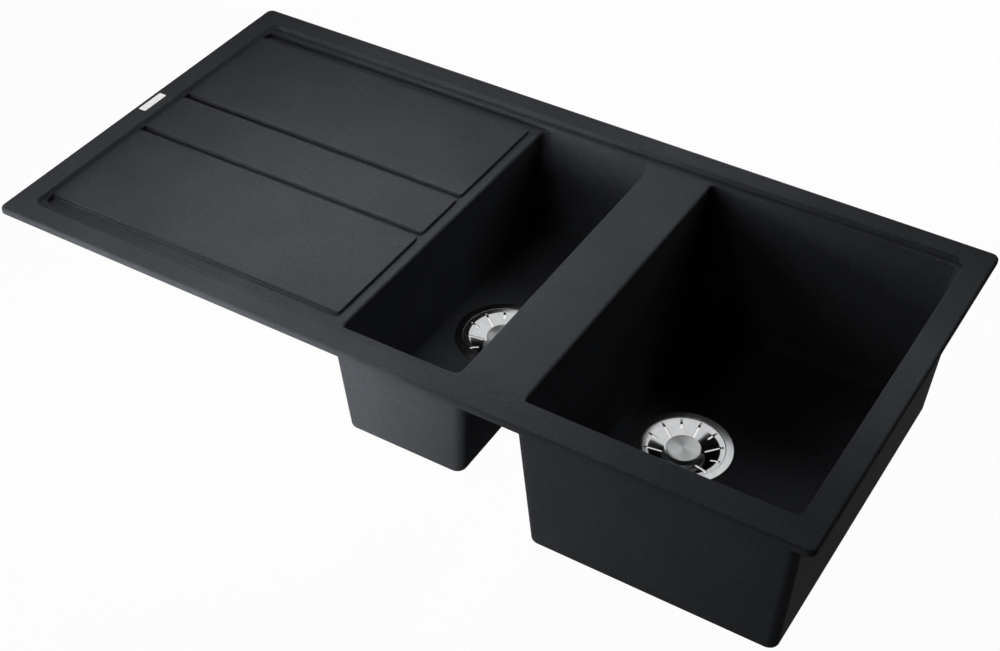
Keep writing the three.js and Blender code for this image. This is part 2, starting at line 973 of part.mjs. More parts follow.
const sink = new THREE.Group();
sink.add( piece( 'sink_body', sinkBody(), 'composite' ) );
sink.add( piece( 'name_plate', namePlate(), 'satinSteel' ) );

const wastePieces = [
	[ 'waste_cup', wasteCup, 'polishedSteel' ],
	[ 'flange_gasket', flangeGasket, 'blackRubber' ],
	[ 'body_gasket', bodyGasket, 'blackRubber' ],
	[ 'waste_body', wasteBody, 'greyPlastic' ],
	[ 'threaded_insert', threadedInsert, 'brass' ],
	[ 'clamp_screw', clampScrew, 'brushedSteel' ],
	[ 'strainer_plate', strainerPlate, 'polishedSteel' ],
	[ 'stem_bush', stemBush, 'whitePlastic' ],
	[ 'plug_stem', plugStem, 'brushedSteel' ],
	[ 'plug_disc', plugDisc, 'whitePlastic' ],
	[ 'plug_seal', plugSeal, 'whiteSilicone' ],
	[ 'plug_knob', plugKnob, 'brushedSteel' ],
];

for ( const [ bowlName, bowl ] of Object.entries( bowls ) ) {

	const waste = new THREE.Group();
	for ( const [ pieceName, make, finish ] of wastePieces ) {

		waste.add( piece( `${ bowlName }_${ pieceName }`, make( bowl ), finish ) );

	}

	sink.add( waste );

}

export default sink;
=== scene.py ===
"""Looks of the double bowl kitchen sink: the moulded body, the plate on the rim and the two wastes."""

import json
import math

import bmesh
import bpy
from mathutils import Matrix, Vector


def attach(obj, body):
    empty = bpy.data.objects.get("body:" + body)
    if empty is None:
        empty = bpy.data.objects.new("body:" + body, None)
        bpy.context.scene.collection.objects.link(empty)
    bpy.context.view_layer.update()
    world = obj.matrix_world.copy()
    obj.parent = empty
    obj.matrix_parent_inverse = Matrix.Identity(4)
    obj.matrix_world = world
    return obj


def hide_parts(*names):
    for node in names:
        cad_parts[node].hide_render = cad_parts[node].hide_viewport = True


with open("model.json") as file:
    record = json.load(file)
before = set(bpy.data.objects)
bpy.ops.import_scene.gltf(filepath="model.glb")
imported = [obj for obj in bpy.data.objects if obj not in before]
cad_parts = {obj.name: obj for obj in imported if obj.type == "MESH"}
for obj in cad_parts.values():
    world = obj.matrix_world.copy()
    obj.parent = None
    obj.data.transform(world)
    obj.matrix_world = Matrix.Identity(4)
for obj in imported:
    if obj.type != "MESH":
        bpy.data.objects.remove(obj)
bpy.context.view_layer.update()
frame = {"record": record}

MM = 0.001

# ---- sizes, in millimetres

SINK_LENGTH = 1000
SINK_WIDTH = 510
RIM_TOP = 8
RIM_UNDER_EDGE = 1
RIM_EDGE_RADIUS = 3.5
OUTLINE_CORNER = 9
RIM_WIDTH = 29.5

WALL = 9
FRONT_WALL = 9.5
DRAFT = math.tan(math.radians(4))

RECESS_DROP = 5
RECESS_CORNER = 9
RECESS_ROUNDING = 2.6
BOWL_RIM_ROUNDING = 1.5
LEDGE_WIDTH = 10.5
LEDGE_ROUNDING = 2
FRONT_LEDGE_END = 160

WET_WAY_DROP = 5
CHANNEL_WIDTH = 17
PANEL_STEP = 3
PANEL_STEP_HEIGHT = 2.5
PANEL_STEP_ROUNDING = 1
PANEL_ROUNDING = 1.2
PANEL_CORNER = 3
PANEL_FALL = 1
GROOVE_WIDTH = 10
GROOVE_SPACING = 82
LIP_WIDTH = 12.5
WET_WAY_FILLET = 1.5

HALF_BOWL = (-56, 92)
MAIN_BOWL_LEFT = 168.5
MAIN_BOWL_FRONT = -218
BOWL_EDGE = 3
BOWL_CORNER = 10
BOWL_CORNER_GROWTH = 9
BOWL_OUTER_CORNER = 11
BOWL_UNDER_EDGE = 4
FLOOR_FALL = 0.015

DRAIN_Y = -5
DRAIN_HOLE = 45.5
DRAIN_BOSS = 62
DRAIN_BOSS_HEIGHT = 5

SHEET = 1.2
FLANGE_RADIUS = 57
FLANGE_PROUD = 0.4
STRAINER_SEAT_RADIUS = 48
STRAINER_SEAT_DROP = 2.2
CUP_RADIUS = 44
CUP_FLOOR_RADIUS = 36
CUP_DEPTH = 30
PLUG_SEAT_RADIUS = 38
PLUG_SEAT_HEIGHT = 4
CUP_HOLES = 6
CUP_HOLE_RADIUS = 6.5
CUP_HOLE_CIRCLE = 20

STRAINER_RADIUS = 47.5
STRAINER_SHOULDER_RADIUS = 40.5
STRAINER_SHOULDER_DROP = 0.6
STRAINER_FLAT_RADIUS = 21
STRAINER_DISH = 8
SLOTS = 12
SLOT_WIDTH = 2.8
SLOT_END = 46
LONG_SLOT_START = 24
SHORT_SLOT_START = 33

KNOB_RADIUS = 19.8
KNOB_THICKNESS = 2.4
KNOB_BELOW_FLANGE = 0.6
KNOB_SOCKET = 1.4
KNOB_HOLLOW = 0.25
STEM_RADIUS = 4
BUSH_WALL = 2.6
BUSH_LENGTH = 4
BUSH_FLANGE_RADIUS = 10
BUSH_FLANGE = 1.2
PLUG_TRAVEL = 5
PLUG_THICKNESS = 2
PLUG_FLAT_RADIUS = 21
PLUG_RIM_RISE = 7.15
PLUG_RIM_INNER = 36.4
PLUG_RADIUS = 38.5
PLUG_HUB_RADIUS = 8
PLUG_HUB_HEIGHT = 2.8
PLUG_SOCKET = 3
SEAL_RADIUS = 41.6
SEAL_ARM = 0.8

BODY_GASKET = 3
GASKET_BULGE = 0.5
BODY_FLANGE_RADIUS = 56
BODY_FLANGE = 5
BODY_RADIUS = 50.5
BODY_WALL = 3.2
BODY_DEPTH = 19
CONE_HEIGHT = 22
OUTLET_RADIUS = 23.9
OUTLET_WALL = 4
OUTLET_LENGTH = 22
THREAD_PITCH = 2.2
THREAD_DEPTH = 1.1
THREAD_RUN_IN = 1.5
THREAD_RUN_OUT = 3
HUB_RADIUS = 7.5
HUB_LENGTH = 14
HUB_RIB = 3
HUB_RIB_HEIGHT = 10
HUB_RIBS = 3
INSERT_RADIUS = 4
INSERT_LENGTH = 12
SCREW_RADIUS = 2.5
SCREW_HEAD_RADIUS = 6
SCREW_HEAD = 2
SCREW_SLOT = 1.2
SCREW_SLOT_DEPTH = 1
SCREW_HEAD_EDGE = 1.1
SCREW_HEAD_DOME = 2

PLATE_LENGTH = 40
PLATE_WIDTH = 10
PLATE_THICKNESS = 0.8
PLATE_POCKET = 0.6
PLATE_CORNER = 1.2
PLATE_ROUNDING = 0.25
PLATE_FROM_EDGE = 11.5
PLATE_Y = 1.5

FIT = 0.15
RUNNING = 0.1
SLIDE = 0.5

CORNER_STEPS = 12
EDGE_STEPS = 8
TURN_STEPS = 128
SMALL_TURN_STEPS = 48
BAR_END_STEPS = 8
PLATE_EDGE_STEPS = 4
ROUNDING_STEPS = 5
ROUNDING_LIMIT = 0.49
THREAD_ROWS_PER_TURN = 8
SHARP_ANGLE = 32
THREAD_SHARP_ANGLE = 38
MARGIN = 2
HAIR = 0.02

SIDES = ("left", "right", "front", "back")
OUTWARD = {"left": -1, "right": 1, "front": -1, "back": 1}


def sides(*values):
    """One value for each side, in the order left, right, front, back."""
    return dict(zip(SIDES, values))


# ---- levels and places

RECESS = RIM_TOP - RECESS_DROP
WET_WAY = RECESS - WET_WAY_DROP
RECESS_X = SINK_LENGTH / 2 - RIM_WIDTH
RECESS_Y = SINK_WIDTH / 2 - RIM_WIDTH
BOWL_Y = RECESS_Y - LEDGE_WIDTH
PANEL_Y = BOWL_Y - CHANNEL_WIDTH
PANEL_RIGHT = HALF_BOWL[0] - LIP_WIDTH

BOWLS = {
    "half": {
        **sides(*HALF_BOWL, -BOWL_Y, BOWL_Y),
        "floor": RIM_TOP - 143,
        "thickness": 10,
        "walls": sides(WALL, 11, FRONT_WALL, WALL),
        "fillet": 11,
        "edges": sides(
            (WET_WAY, BOWL_EDGE),
            (RECESS, BOWL_EDGE),
            (RECESS, LEDGE_ROUNDING),
            (RECESS, LEDGE_ROUNDING),
        ),
        "drain": (20, DRAIN_Y),
    },
    "main": {
        **sides(MAIN_BOWL_LEFT, RECESS_X, MAIN_BOWL_FRONT, BOWL_Y),
        "floor": RIM_TOP - 202,
        "thickness": 7.2,
        "walls": sides(6.5, WALL, FRONT_WALL, WALL),
        "fillet": 18,
        "edges": sides(
            (RECESS, BOWL_EDGE),
            (RIM_TOP, BOWL_RIM_ROUNDING),
            (RIM_TOP, BOWL_RIM_ROUNDING),
            (RECESS, LEDGE_ROUNDING),
        ),
        "drain": (258, DRAIN_Y),
    },
}

# ---- meshes


def placed(name, data):
    """An object in the scene, from a mesh, a lamp or a camera."""
    made = bpy.data.objects.new(name, data)
    bpy.context.scene.collection.objects.link(made)
    return made


def new_object(name, verts, faces):
    """An object from points in millimetres, with its faces turned outward."""
    mesh = bpy.data.meshes.new(name)
    mesh.from_pydata([[c * MM for c in v] for v in verts], [], faces)
    build = bmesh.new()
    build.from_mesh(mesh)
    bmesh.ops.remove_doubles(build, verts=build.verts, dist=0.00001 * MM)
    bmesh.ops.recalc_face_normals(build, faces=build.faces)
    build.to_mesh(mesh)
    build.free()
    return placed(name, mesh)


def grown(bounds, by):
    """A rectangle's sides moved outward by one amount."""
    return {side: bounds[side] + OUTWARD[side] * by for side in SIDES}


def ring(bounds, radius, z):
    """A level rectangle with round corners, as a list of points."""
    left, right, front, back = (bounds[side] for side in SIDES)
    centres = (
        (right - radius, back - radius),
        (left + radius, back - radius),
        (left + radius, front + radius),
        (right - radius, front + radius),
    )
    points = []
    for quarter, (x, y) in enumerate(centres):
        for i in range(CORNER_STEPS + 1):
            turn = (quarter + i / CORNER_STEPS) * math.pi / 2
            points.append((x + radius * math.cos(turn), y + radius * math.sin(turn), z))
    return points


def circle(centre, radius, z, steps):
    """Points of a level circle."""
    turns = [i / steps * 2 * math.pi for i in range(steps)]
    return [(centre[0] + radius * math.cos(t), centre[1] + radius * math.sin(t), z) for t in turns]


def quarter_round(steps=EDGE_STEPS):
    """Steps of a quarter round of radius 1: how far it has left each of its two faces."""
    turns = [i / steps * math.pi / 2 for i in range(steps + 1)]
    return [(1 - math.cos(turn), 1 - math.sin(turn)) for turn in turns]


def top_edge(bounds, corner, top, radius, narrowing=1, steps=EDGE_STEPS):
    """Rings of a block's rounded top edge, whose corners narrow with it."""
    rings = []
    for across, down in quarter_round(steps):
        inset = radius * across
        rings.append(ring(grown(bounds, -inset), corner - inset * narrowing, top - radius * down))
    return rings


def foot_edge(bounds, corner, low, radius, outward):
    """Rings of the fillet at a block's foot, which spreads outward or inward."""
    rings = []
    for up, across in quarter_round():
        out = outward * radius * across
        rings.append(ring(grown(bounds, out), corner + out, low + radius * up))
    return rings


def loft(name, rings):
    """A closed solid through rings of equal count."""
    count = len(rings[0])
    verts = [point for row in rings for point in row]
    faces = [tuple(reversed(range(count)))]
    for row in range(len(rings) - 1):
        low = row * count
        high = low + count
        for i in range(count):
            j = (i + 1) % count
            faces.append((low + i, low + j, high + j, high + i))
    last = (len(rings) - 1) * count
    faces.append(tuple(range(last, last + count)))
    return new_object(name, verts, faces)


def slab(name, bounds, radius, low, high):
    """A plain rounded block: a tool or part of a moulding."""
    return loft(name, [ring(bounds, radius, low), ring(bounds, radius, high)])


def arc_corner(before, corner, after, radius):
    """Points of the arc that rounds one corner of a profile."""
    corner = Vector(corner)
    to_before = Vector(before) - corner
    to_after = Vector(after) - corner
    angle = to_before.angle(to_after)
    reach = radius / math.tan(angle / 2)
    reach = min(reach, to_before.length * ROUNDING_LIMIT, to_after.length * ROUNDING_LIMIT)
    start = corner + to_before.normalized() * reach
    end = corner + to_after.normalized() * reach
    points = []
    for i in range(ROUNDING_STEPS + 1):
        t = i / ROUNDING_STEPS
        points.append(start * (1 - t) ** 2 + corner * 2 * t * (1 - t) + end * t**2)
    return points


def rounded(profile):
    """Rounds each corner of a closed profile of (radius, z, rounding) points."""
    points = []
    for i, (r, z, rounding) in enumerate(profile):
        if rounding == 0:
            points.append(Vector((r, z)))
            continue
        before = profile[i - 1][:2]
        after = profile[(i + 1) % len(profile)][:2]
        points.extend(arc_corner(before, (r, z), after, rounding))
    return points


def turned(name, profile, centre, steps=TURN_STEPS):
    """A solid of revolution about an upright axis, from (radius, z, rounding) points."""
    verts = []
    rows = []
    for r, z in rounded(profile):
        points = circle(centre, r, z, steps) if r > 0 else [(*centre, z)]
        rows.append(range(len(verts), len(verts) + len(points)))
        verts += points
    faces = []
    for k, row in enumerate(rows):
        following = rows[(k + 1) % len(rows)]
        if len(row) == 1 and len(following) == 1:
            continue
        for i in range(steps):
            j = (i + 1) % steps
            corners = [row[i % len(row)], row[j % len(row)]]
            corners += [following[j % len(following)], following[i % len(following)]]
            faces.append(tuple(dict.fromkeys(corners)))
    return new_object(name, verts, faces)


def tube(name, inner, outer, low, high, centre, rounding, steps=TURN_STEPS):
    """A plain ring with softened edges."""
    corners = ((inner, low), (outer, low), (outer, high), (inner, high))
    return turned(name, [(*corner, rounding) for corner in corners], centre, steps)


def rod(name, radius, low, high, centre):
    """A plain upright rod: a tool or part of a moulding."""
    profile = [(0, low, 0), (radius, low, 0), (radius, high, 0), (0, high, 0)]
    return turned(name, profile, centre, SMALL_TURN_STEPS)


def bar(name, start, end, width, low, high):
    """A bar along X with round ends: a tool or a rib."""
    half = width / 2
    outline = []
    for middle, first in ((end - half, -0.5), (start + half, 0.5)):
        for i in range(BAR_END_STEPS + 1):
            turn = (first + i / BAR_END_STEPS) * math.pi
            outline.append((middle + half * math.cos(turn), half * math.sin(turn)))
    count = len(outline)
    verts = [(x, y, low) for x, y in outline] + [(x, y, high) for x, y in outline]
    faces = [tuple(reversed(range(count))), tuple(range(count, 2 * count))]
    for i in range(count):
        j = (i + 1) % count
        faces.append((i, j, count + j, count + i))
    return new_object(name, verts, faces)


def applied(obj):
    """Makes an object's modifiers part of its mesh."""
    graph = bpy.context.evaluated_depsgraph_get()
    mesh = bpy.data.meshes.new_from_object(obj.evaluated_get(graph))
    obj.modifiers.clear()
    obj.data = mesh
    return obj


def combined(obj, others, operation):
    """Joins or cuts one object with others, which are used up."""
    for other in others:
        change = obj.modifiers.new("change", "BOOLEAN")
        change.operation = operation
        change.solver = "MANIFOLD"
        change.object = other
        applied(obj)
        bpy.data.objects.remove(other)
    return obj


def joined(obj, *others):
    return combined(obj, others, "UNION")


def cut(obj, *others):
    return combined(obj, others, "DIFFERENCE")


def smoothed(obj, angle=SHARP_ANGLE):
    """Shades curved faces smooth and keeps sharp edges and flat faces crisp."""
    mesh = obj.data
    mesh.shade_smooth()
    mesh.set_sharp_from_angle(angle=math.radians(angle))
    weighting = obj.modifiers.new("weighting", "WEIGHTED_NORMAL")
    weighting.keep_sharp = True
    weighting.weight = 80
    return applied(obj)


# ---- nodes, and repeats round a centre


def node_input(tree, name, kind, value):
    """Adds a named input to a node tree."""
    socket = tree.interface.new_socket(name, in_out="INPUT", socket_type=kind)
    socket.default_value = value
    return socket


def feed(tree, node, given):
    """Gives a node's inputs constants, or links where a value is another node's output."""
    for label, value in given.items():
        if isinstance(value, bpy.types.NodeSocket):
            tree.links.new(value, node.inputs[label])
        else:
            node.inputs[label].default_value = value


def worked_out(tree, kind, given, operation=None):
    """The first output of a new node, with the node's inputs fed."""
    node = tree.nodes.new(kind)
    if operation:
        node.operation = operation
    feed(tree, node, given)
    return node.outputs[0]


def maths(tree, operation, *values):
    return worked_out(tree, "ShaderNodeMath", dict(enumerate(values)), operation)


def vectors(tree, operation, *values):
    return worked_out(tree, "ShaderNodeVectorMath", dict(enumerate(values)), operation)


def ring_copier():
    """A geometry tree that sets equal copies of a mesh round a centre."""
    tree = bpy.data.node_groups.new("copies_round_centre", "GeometryNodeTree")
    tree.is_modifier = True
    tree.interface.new_socket("Piece", in_out="INPUT", socket_type="NodeSocketGeometry")
    node_input(tree, "Count", "NodeSocketInt", SLOTS)
    node_input(tree, "Radius", "NodeSocketFloat", 0)
    node_input(tree, "First angle", "NodeSocketFloat", 0)
    node_input(tree, "Centre", "NodeSocketVector", (0, 0, 0))
    tree.interface.new_socket("Finish", in_out="INPUT", socket_type="NodeSocketMaterial")
    tree.interface.new_socket("Copies", in_out="OUTPUT", socket_type="NodeSocketGeometry")
    given = tree.nodes.new("NodeGroupInput").outputs
    where = {"Count": given["Count"], "Position": given["Centre"]}
    points = worked_out(tree, "GeometryNodePoints", where)
    order = worked_out(tree, "GeometryNodeInputIndex", {})
    step = maths(tree, "DIVIDE", 2 * math.pi, given["Count"])
    turn = maths(tree, "MULTIPLY_ADD", order, step, given["First angle"])
    spin = worked_out(tree, "ShaderNodeCombineXYZ", {"Z": turn})
    spun = {"Points": points, "Instance": given["Piece"], "Rotation": spin}
    copies = worked_out(tree, "GeometryNodeInstanceOnPoints", spun)
    reach = worked_out(tree, "ShaderNodeCombineXYZ", {"X": given["Radius"]})
    outward = {"Instances": copies, "Translation": reach}
    moved = worked_out(tree, "GeometryNodeTranslateInstances", outward)
    real = worked_out(tree, "GeometryNodeRealizeInstances", {"Geometry": moved})
    dressed = {"Geometry": real, "Material": given["Finish"]}
    finish = worked_out(tree, "GeometryNodeSetMaterial", dressed)
    feed(tree, tree.nodes.new("NodeGroupOutput"), {"Copies": finish})
    return tree


def copies_round(obj, count, radius, first_angle, centre):
    """Replaces an object's mesh with copies of it set round a centre."""
    change = obj.modifiers.new("copies", "NODES")
    change.node_group = RING_COPIER
    sockets = {s.name: s.identifier for s in RING_COPIER.interface.items_tree}
    change[sockets["Count"]] = count
    change[sockets["Radius"]] = radius * MM
    change[sockets["First angle"]] = first_angle
    change[sockets["Centre"]] = (centre[0] * MM, centre[1] * MM, 0)
    return applied(obj)


RING_COPIER = ring_copier()

# ---- moulded body


def s_curve(bounds, widths, low, high, radius, lead):
    """Rings of an opening that rises from low to high in a soft S, wider by each side's width."""
    rings = []
    for i in range(2 * EDGE_STEPS + 1):
        out = i / (2 * EDGE_STEPS)
        rise = (1 - math.cos(out * math.pi)) / 2
        opened = {s: bounds[s] + OUTWARD[s] * widths[s] * (out - lead) for s in SIDES}
        rings.append(ring(opened, radius + max(widths.values()) * out / 2, low + (high - low) * rise))
    return rings


def raised(points, z):
    return [(x, y, z) for x, y, _ in points]


def rim_slab():
    """The flat rim with its rounded outer edge."""
    outline = sides(-SINK_LENGTH / 2, SINK_LENGTH / 2, -SINK_WIDTH / 2, SINK_WIDTH / 2)
    rings = [ring(grown(outline, -RIM_UNDER_EDGE), OUTLINE_CORNER - RIM_UNDER_EDGE, 0)]
    rings.append(ring(outline, OUTLINE_CORNER, RIM_UNDER_EDGE))
    return loft("rim", rings + top_edge(outline, OUTLINE_CORNER, RIM_TOP, RIM_EDGE_RADIUS))


def groove_spans():
    """Front and back of each groove between the drainer's panels."""
    spans = []
    for side in (-1, 1):
        middle = side * GROOVE_SPACING / 2
        spans.append((middle - GROOVE_WIDTH / 2, middle + GROOVE_WIDTH / 2))
    return spans


def deck_parts():
    """The underside of the recess, deeper under each way that carries water."""
    recess = sides(-RECESS_X, RECESS_X, -RECESS_Y, RECESS_Y)
    deck = slab("deck", grown(recess, WALL), RECESS_CORNER + WALL, RECESS - WALL, RIM_UNDER_EDGE)
    spans = [(-BOWL_Y, -PANEL_Y), (PANEL_Y, BOWL_Y), *groove_spans()]
    ways = [sides(-RECESS_X, HALF_BOWL[0], *span) for span in spans]
    ways.append(sides(PANEL_RIGHT, HALF_BOWL[0], -BOWL_Y, BOWL_Y))
    low = WET_WAY - WALL
    high = RECESS - WALL + RIM_UNDER_EDGE
    return [deck] + [slab(f"way_{i}", grown(way, WALL), WALL, low, high) for i, way in enumerate(ways)]


def wall_inset(z):
    """How far the drafted wall has moved inward at a level."""
    return max(0, RECESS - z) * DRAFT


def corner_at(bowl, z):
    return BOWL_CORNER + BOWL_CORNER_GROWTH * (RECESS - z) / (RECESS - bowl["floor"])


def outer_bounds(bowl, inset):
    """The outer faces of a bowl's walls, moved inward by one amount."""
    return {s: bowl[s] + OUTWARD[s] * (bowl["walls"][s] - inset) for s in SIDES}


def bowl_outside(name, bowl):
    """The outside of a bowl, with the boss that carries its waste."""
    under = bowl["floor"] - bowl["thickness"]
    rings = []
    for up, across in quarter_round():
        z = under + BOWL_UNDER_EDGE * up
        inset = wall_inset(z) + BOWL_UNDER_EDGE * across
        rings.append(ring(outer_bounds(bowl, inset), BOWL_OUTER_CORNER, z))
    rings.append(ring(outer_bounds(bowl, wall_inset(0)), BOWL_OUTER_CORNER, 0))
    shell = loft(f"{name}_outside", rings)
    low = under - DRAIN_BOSS_HEIGHT
    boss = [(0, low, 0), (DRAIN_BOSS, low, 1), (DRAIN_BOSS, under + MARGIN, 0), (0, under + MARGIN, 0)]
    return joined(shell, turned(f"{name}_boss", boss, bowl["drain"]))


def side_place(bowl, side, z):
    """Where one side of a bowl's opening stands at a level, with its rounded top edge."""
    top, radius = bowl["edges"][side]
    out = -wall_inset(z)
    climb = z - (top - radius)
    if climb > 0:
        t = min(1, climb / radius)
        out += radius * (1 - math.sqrt(1 - t * t))
    return bowl[side] + OUTWARD[side] * out


def bowl_levels(bowl):
    """Levels at which a bowl's opening needs a ring: the fillet, the wall and each top edge."""
    levels = [bowl["floor"] + bowl["fillet"] * up for up, _ in quarter_round(2 * EDGE_STEPS)]
    for top, radius in bowl["edges"].values():
        levels += [top - radius * down for _, down in quarter_round()]
    return sorted({round(z, 4) for z in levels})


def bowl_inside(name, bowl):
    """The hollow of a bowl: filleted floor, drafted walls and rounded top edges."""
    rings = []
    for z in bowl_levels(bowl):
        rise = z - bowl["floor"]
        inset = 0
        if rise < bowl["fillet"]:
            inset = bowl["fillet"] - math.sqrt(bowl["fillet"] ** 2 - (bowl["fillet"] - rise) ** 2)
        bounds = {side: side_place(bowl, side, z) - OUTWARD[side] * inset for side in SIDES}
        rings.append(ring(bounds, corner_at(bowl, min(z, RECESS)), z))
    rings.append(raised(rings[-1], RIM_TOP + MARGIN))
    reach = SINK_LENGTH / 2
    rise = (reach - FLANGE_RADIUS) * FLOOR_FALL
    low = bowl["floor"] - MARGIN
    fill = [(FLANGE_RADIUS, low, 0), (reach, low, 0), (reach, bowl["floor"] + rise, 0)]
    fill.append((FLANGE_RADIUS, bowl["floor"], 0))
    return cut(loft(f"{name}_inside", rings), turned(f"{name}_fill", fill, bowl["drain"]))


def drain_tool(name, bowl):
    """The seat for the flange and the hole for the cup."""
    seat = strainer_seat(bowl) - SHEET - FIT
    low = boss_under(bowl) - MARGIN
    high = bowl["floor"] + bowl["fillet"]
    clear = FLANGE_RADIUS + SLIDE
    profile = [(0, low, 0), (DRAIN_HOLE, low, 0), (DRAIN_HOLE, seat, 0)]
    profile += [(clear, seat, 0), (clear, high, 0), (0, high, 0)]
    return turned(f"{name}_drain", profile, bowl["drain"])


def recess_tools():
    """The shallow recess inside the rim, which ends short of the main bowl at the front."""
    even = {side: 2 * RECESS_ROUNDING for side in SIDES}
    low = RECESS
    high = RIM_TOP
    left_part = sides(-RECESS_X, FRONT_LEDGE_END, -RECESS_Y, RECESS_Y)
    right_part = sides(HALF_BOWL[1], RECESS_X, MAIN_BOWL_FRONT, RECESS_Y)
    lead = 0.5
    first = s_curve(left_part, even, low, high, RECESS_CORNER, lead)
    narrow = {**even, "right": HAIR, "front": HAIR}
    second = s_curve(right_part, narrow, low, high, RECESS_CORNER, lead)
    tools = []
    for i, rings in enumerate((first, second)):
        tools.append(loft(f"recess_{i}", [*rings, raised(rings[-1], RIM_TOP + MARGIN)]))
    return tools


def drainer_panel(name, front, back, step_front, step_back):
    """One raised panel of the drainer, with a low step along its outer side."""
    top = sides(-RECESS_X - WALL, PANEL_RIGHT, front, back)
    rings = [ring(grown(top, WET_WAY_FILLET), PANEL_CORNER + WET_WAY_FILLET, WET_WAY - MARGIN)]
    rings += foot_edge(top, PANEL_CORNER, WET_WAY, WET_WAY_FILLET, 1)
    rings += top_edge(top, PANEL_CORNER, RECESS, PANEL_ROUNDING, 0.5)
    panel = loft(name, rings)
    foot = {**top, "front": front - step_front, "back": back + step_back}
    if step_front or step_back:
        steps = [ring(foot, PANEL_CORNER, WET_WAY - MARGIN)]
        steps += top_edge(foot, PANEL_CORNER, WET_WAY + PANEL_STEP_HEIGHT, PANEL_STEP_ROUNDING, 0.5)
        panel = joined(panel, loft(f"{name}_step", steps))
    run = PANEL_RIGHT + RECESS_X
    for vertex in panel.data.vertices:
        if vertex.co.z > WET_WAY * MM:
            share = max(0, (vertex.co.x / MM + RECESS_X) / run)
            vertex.co.z -= PANEL_FALL * MM * share
    return panel


def wet_way_tool():
    """Channels, grooves and lip in one pool, with the panels left standing in it."""
    pool = sides(-RECESS_X + MARGIN, HALF_BOWL[0] + LIP_WIDTH, -BOWL_Y, BOWL_Y)
    rings = foot_edge(pool, RECESS_CORNER, WET_WAY, WET_WAY_FILLET, -1)
    for across, down in quarter_round():
        out = LEDGE_ROUNDING * across
        opened = {**grown(pool, out), "left": pool["left"]}
        rings.append(ring(opened, RECESS_CORNER + out, RECESS - LEDGE_ROUNDING * down))
    tool = loft("pool", [*rings, raised(rings[-1], RECESS + 2 * MARGIN)])
    front_groove, back_groove = groove_spans()
    panels = [
        drainer_panel("panel_front", -PANEL_Y, front_groove[0], PANEL_STEP, 0),
        drainer_panel("panel_middle", front_groove[1], back_groove[0], 0, 0),
        drainer_panel("panel_back", back_groove[1], PANEL_Y, 0, PANEL_STEP),
    ]
    return cut(tool, *panels)


def plate_bounds():
    x = -SINK_LENGTH / 2 + PLATE_FROM_EDGE
    across = (x - PLATE_WIDTH / 2, x + PLATE_WIDTH / 2)
    return sides(*across, PLATE_Y - PLATE_LENGTH / 2, PLATE_Y + PLATE_LENGTH / 2)


def sink_casting():
    """The moulded body in one piece."""
    outside = joined(rim_slab(), *deck_parts(), *[bowl_outside(n, b) for n, b in BOWLS.items()])
    tools = recess_tools()
    tools.append(wet_way_tool())
    tools += [bowl_inside(n, b) for n, b in BOWLS.items()]
    tools += [drain_tool(n, b) for n, b in BOWLS.items()]
    pocket = grown(plate_bounds(), FIT)
    tools.append(slab("pocket", pocket, PLATE_CORNER + FIT, RIM_TOP - PLATE_POCKET, RIM_TOP + MARGIN))
    body = cut(outside, *tools)
    body.name = "sink_casting"
    return smoothed(body)


def rim_plate():
    """The small bare plate let into the left rim."""
    low = RIM_TOP - PLATE_POCKET + FIT
    high = low + PLATE_THICKNESS
    bounds = plate_bounds()
    edge = top_edge(bounds, PLATE_CORNER, high, PLATE_ROUNDING, steps=PLATE_EDGE_STEPS)
    return smoothed(loft("rim_plate", [ring(bounds, PLATE_CORNER, low), *edge]))


# ---- wastes


def flange_top(bowl):
    return bowl["floor"] + FLANGE_PROUD


def strainer_seat(bowl):
    return flange_top(bowl) - STRAINER_SEAT_DROP


def strainer_rim_under(bowl):
    slope = STRAINER_SHOULDER_DROP / (STRAINER_RADIUS - STRAINER_SHOULDER_RADIUS)
    return strainer_seat(bowl) + RUNNING + (STRAINER_RADIUS - CUP_RADIUS) * slope


def strainer_flat(bowl):
    return strainer_rim_under(bowl) + SHEET - STRAINER_DISH


def disc_top(bowl):
    return strainer_flat(bowl) - BUSH_LENGTH - FIT


def plug_rim_top(bowl):
    return disc_top(bowl) + PLUG_RIM_RISE


def seal_low(bowl):
    return plug_rim_top(bowl) - PLUG_THICKNESS - FIT - SEAL_ARM


def knob_under(bowl):
    return flange_top(bowl) - KNOB_BELOW_FLANGE - KNOB_THICKNESS


def boss_under(bowl):
    return bowl["floor"] - bowl["thickness"] - DRAIN_BOSS_HEIGHT


def body_top(bowl):
    return boss_under(bowl) - BODY_GASKET - 2 * FIT


def cup_floor(bowl):
    return flange_top(bowl) - CUP_DEPTH


def insert_top(bowl):
    return body_top(bowl) - BODY_DEPTH - CONE_HEIGHT + INSERT_LENGTH / 2


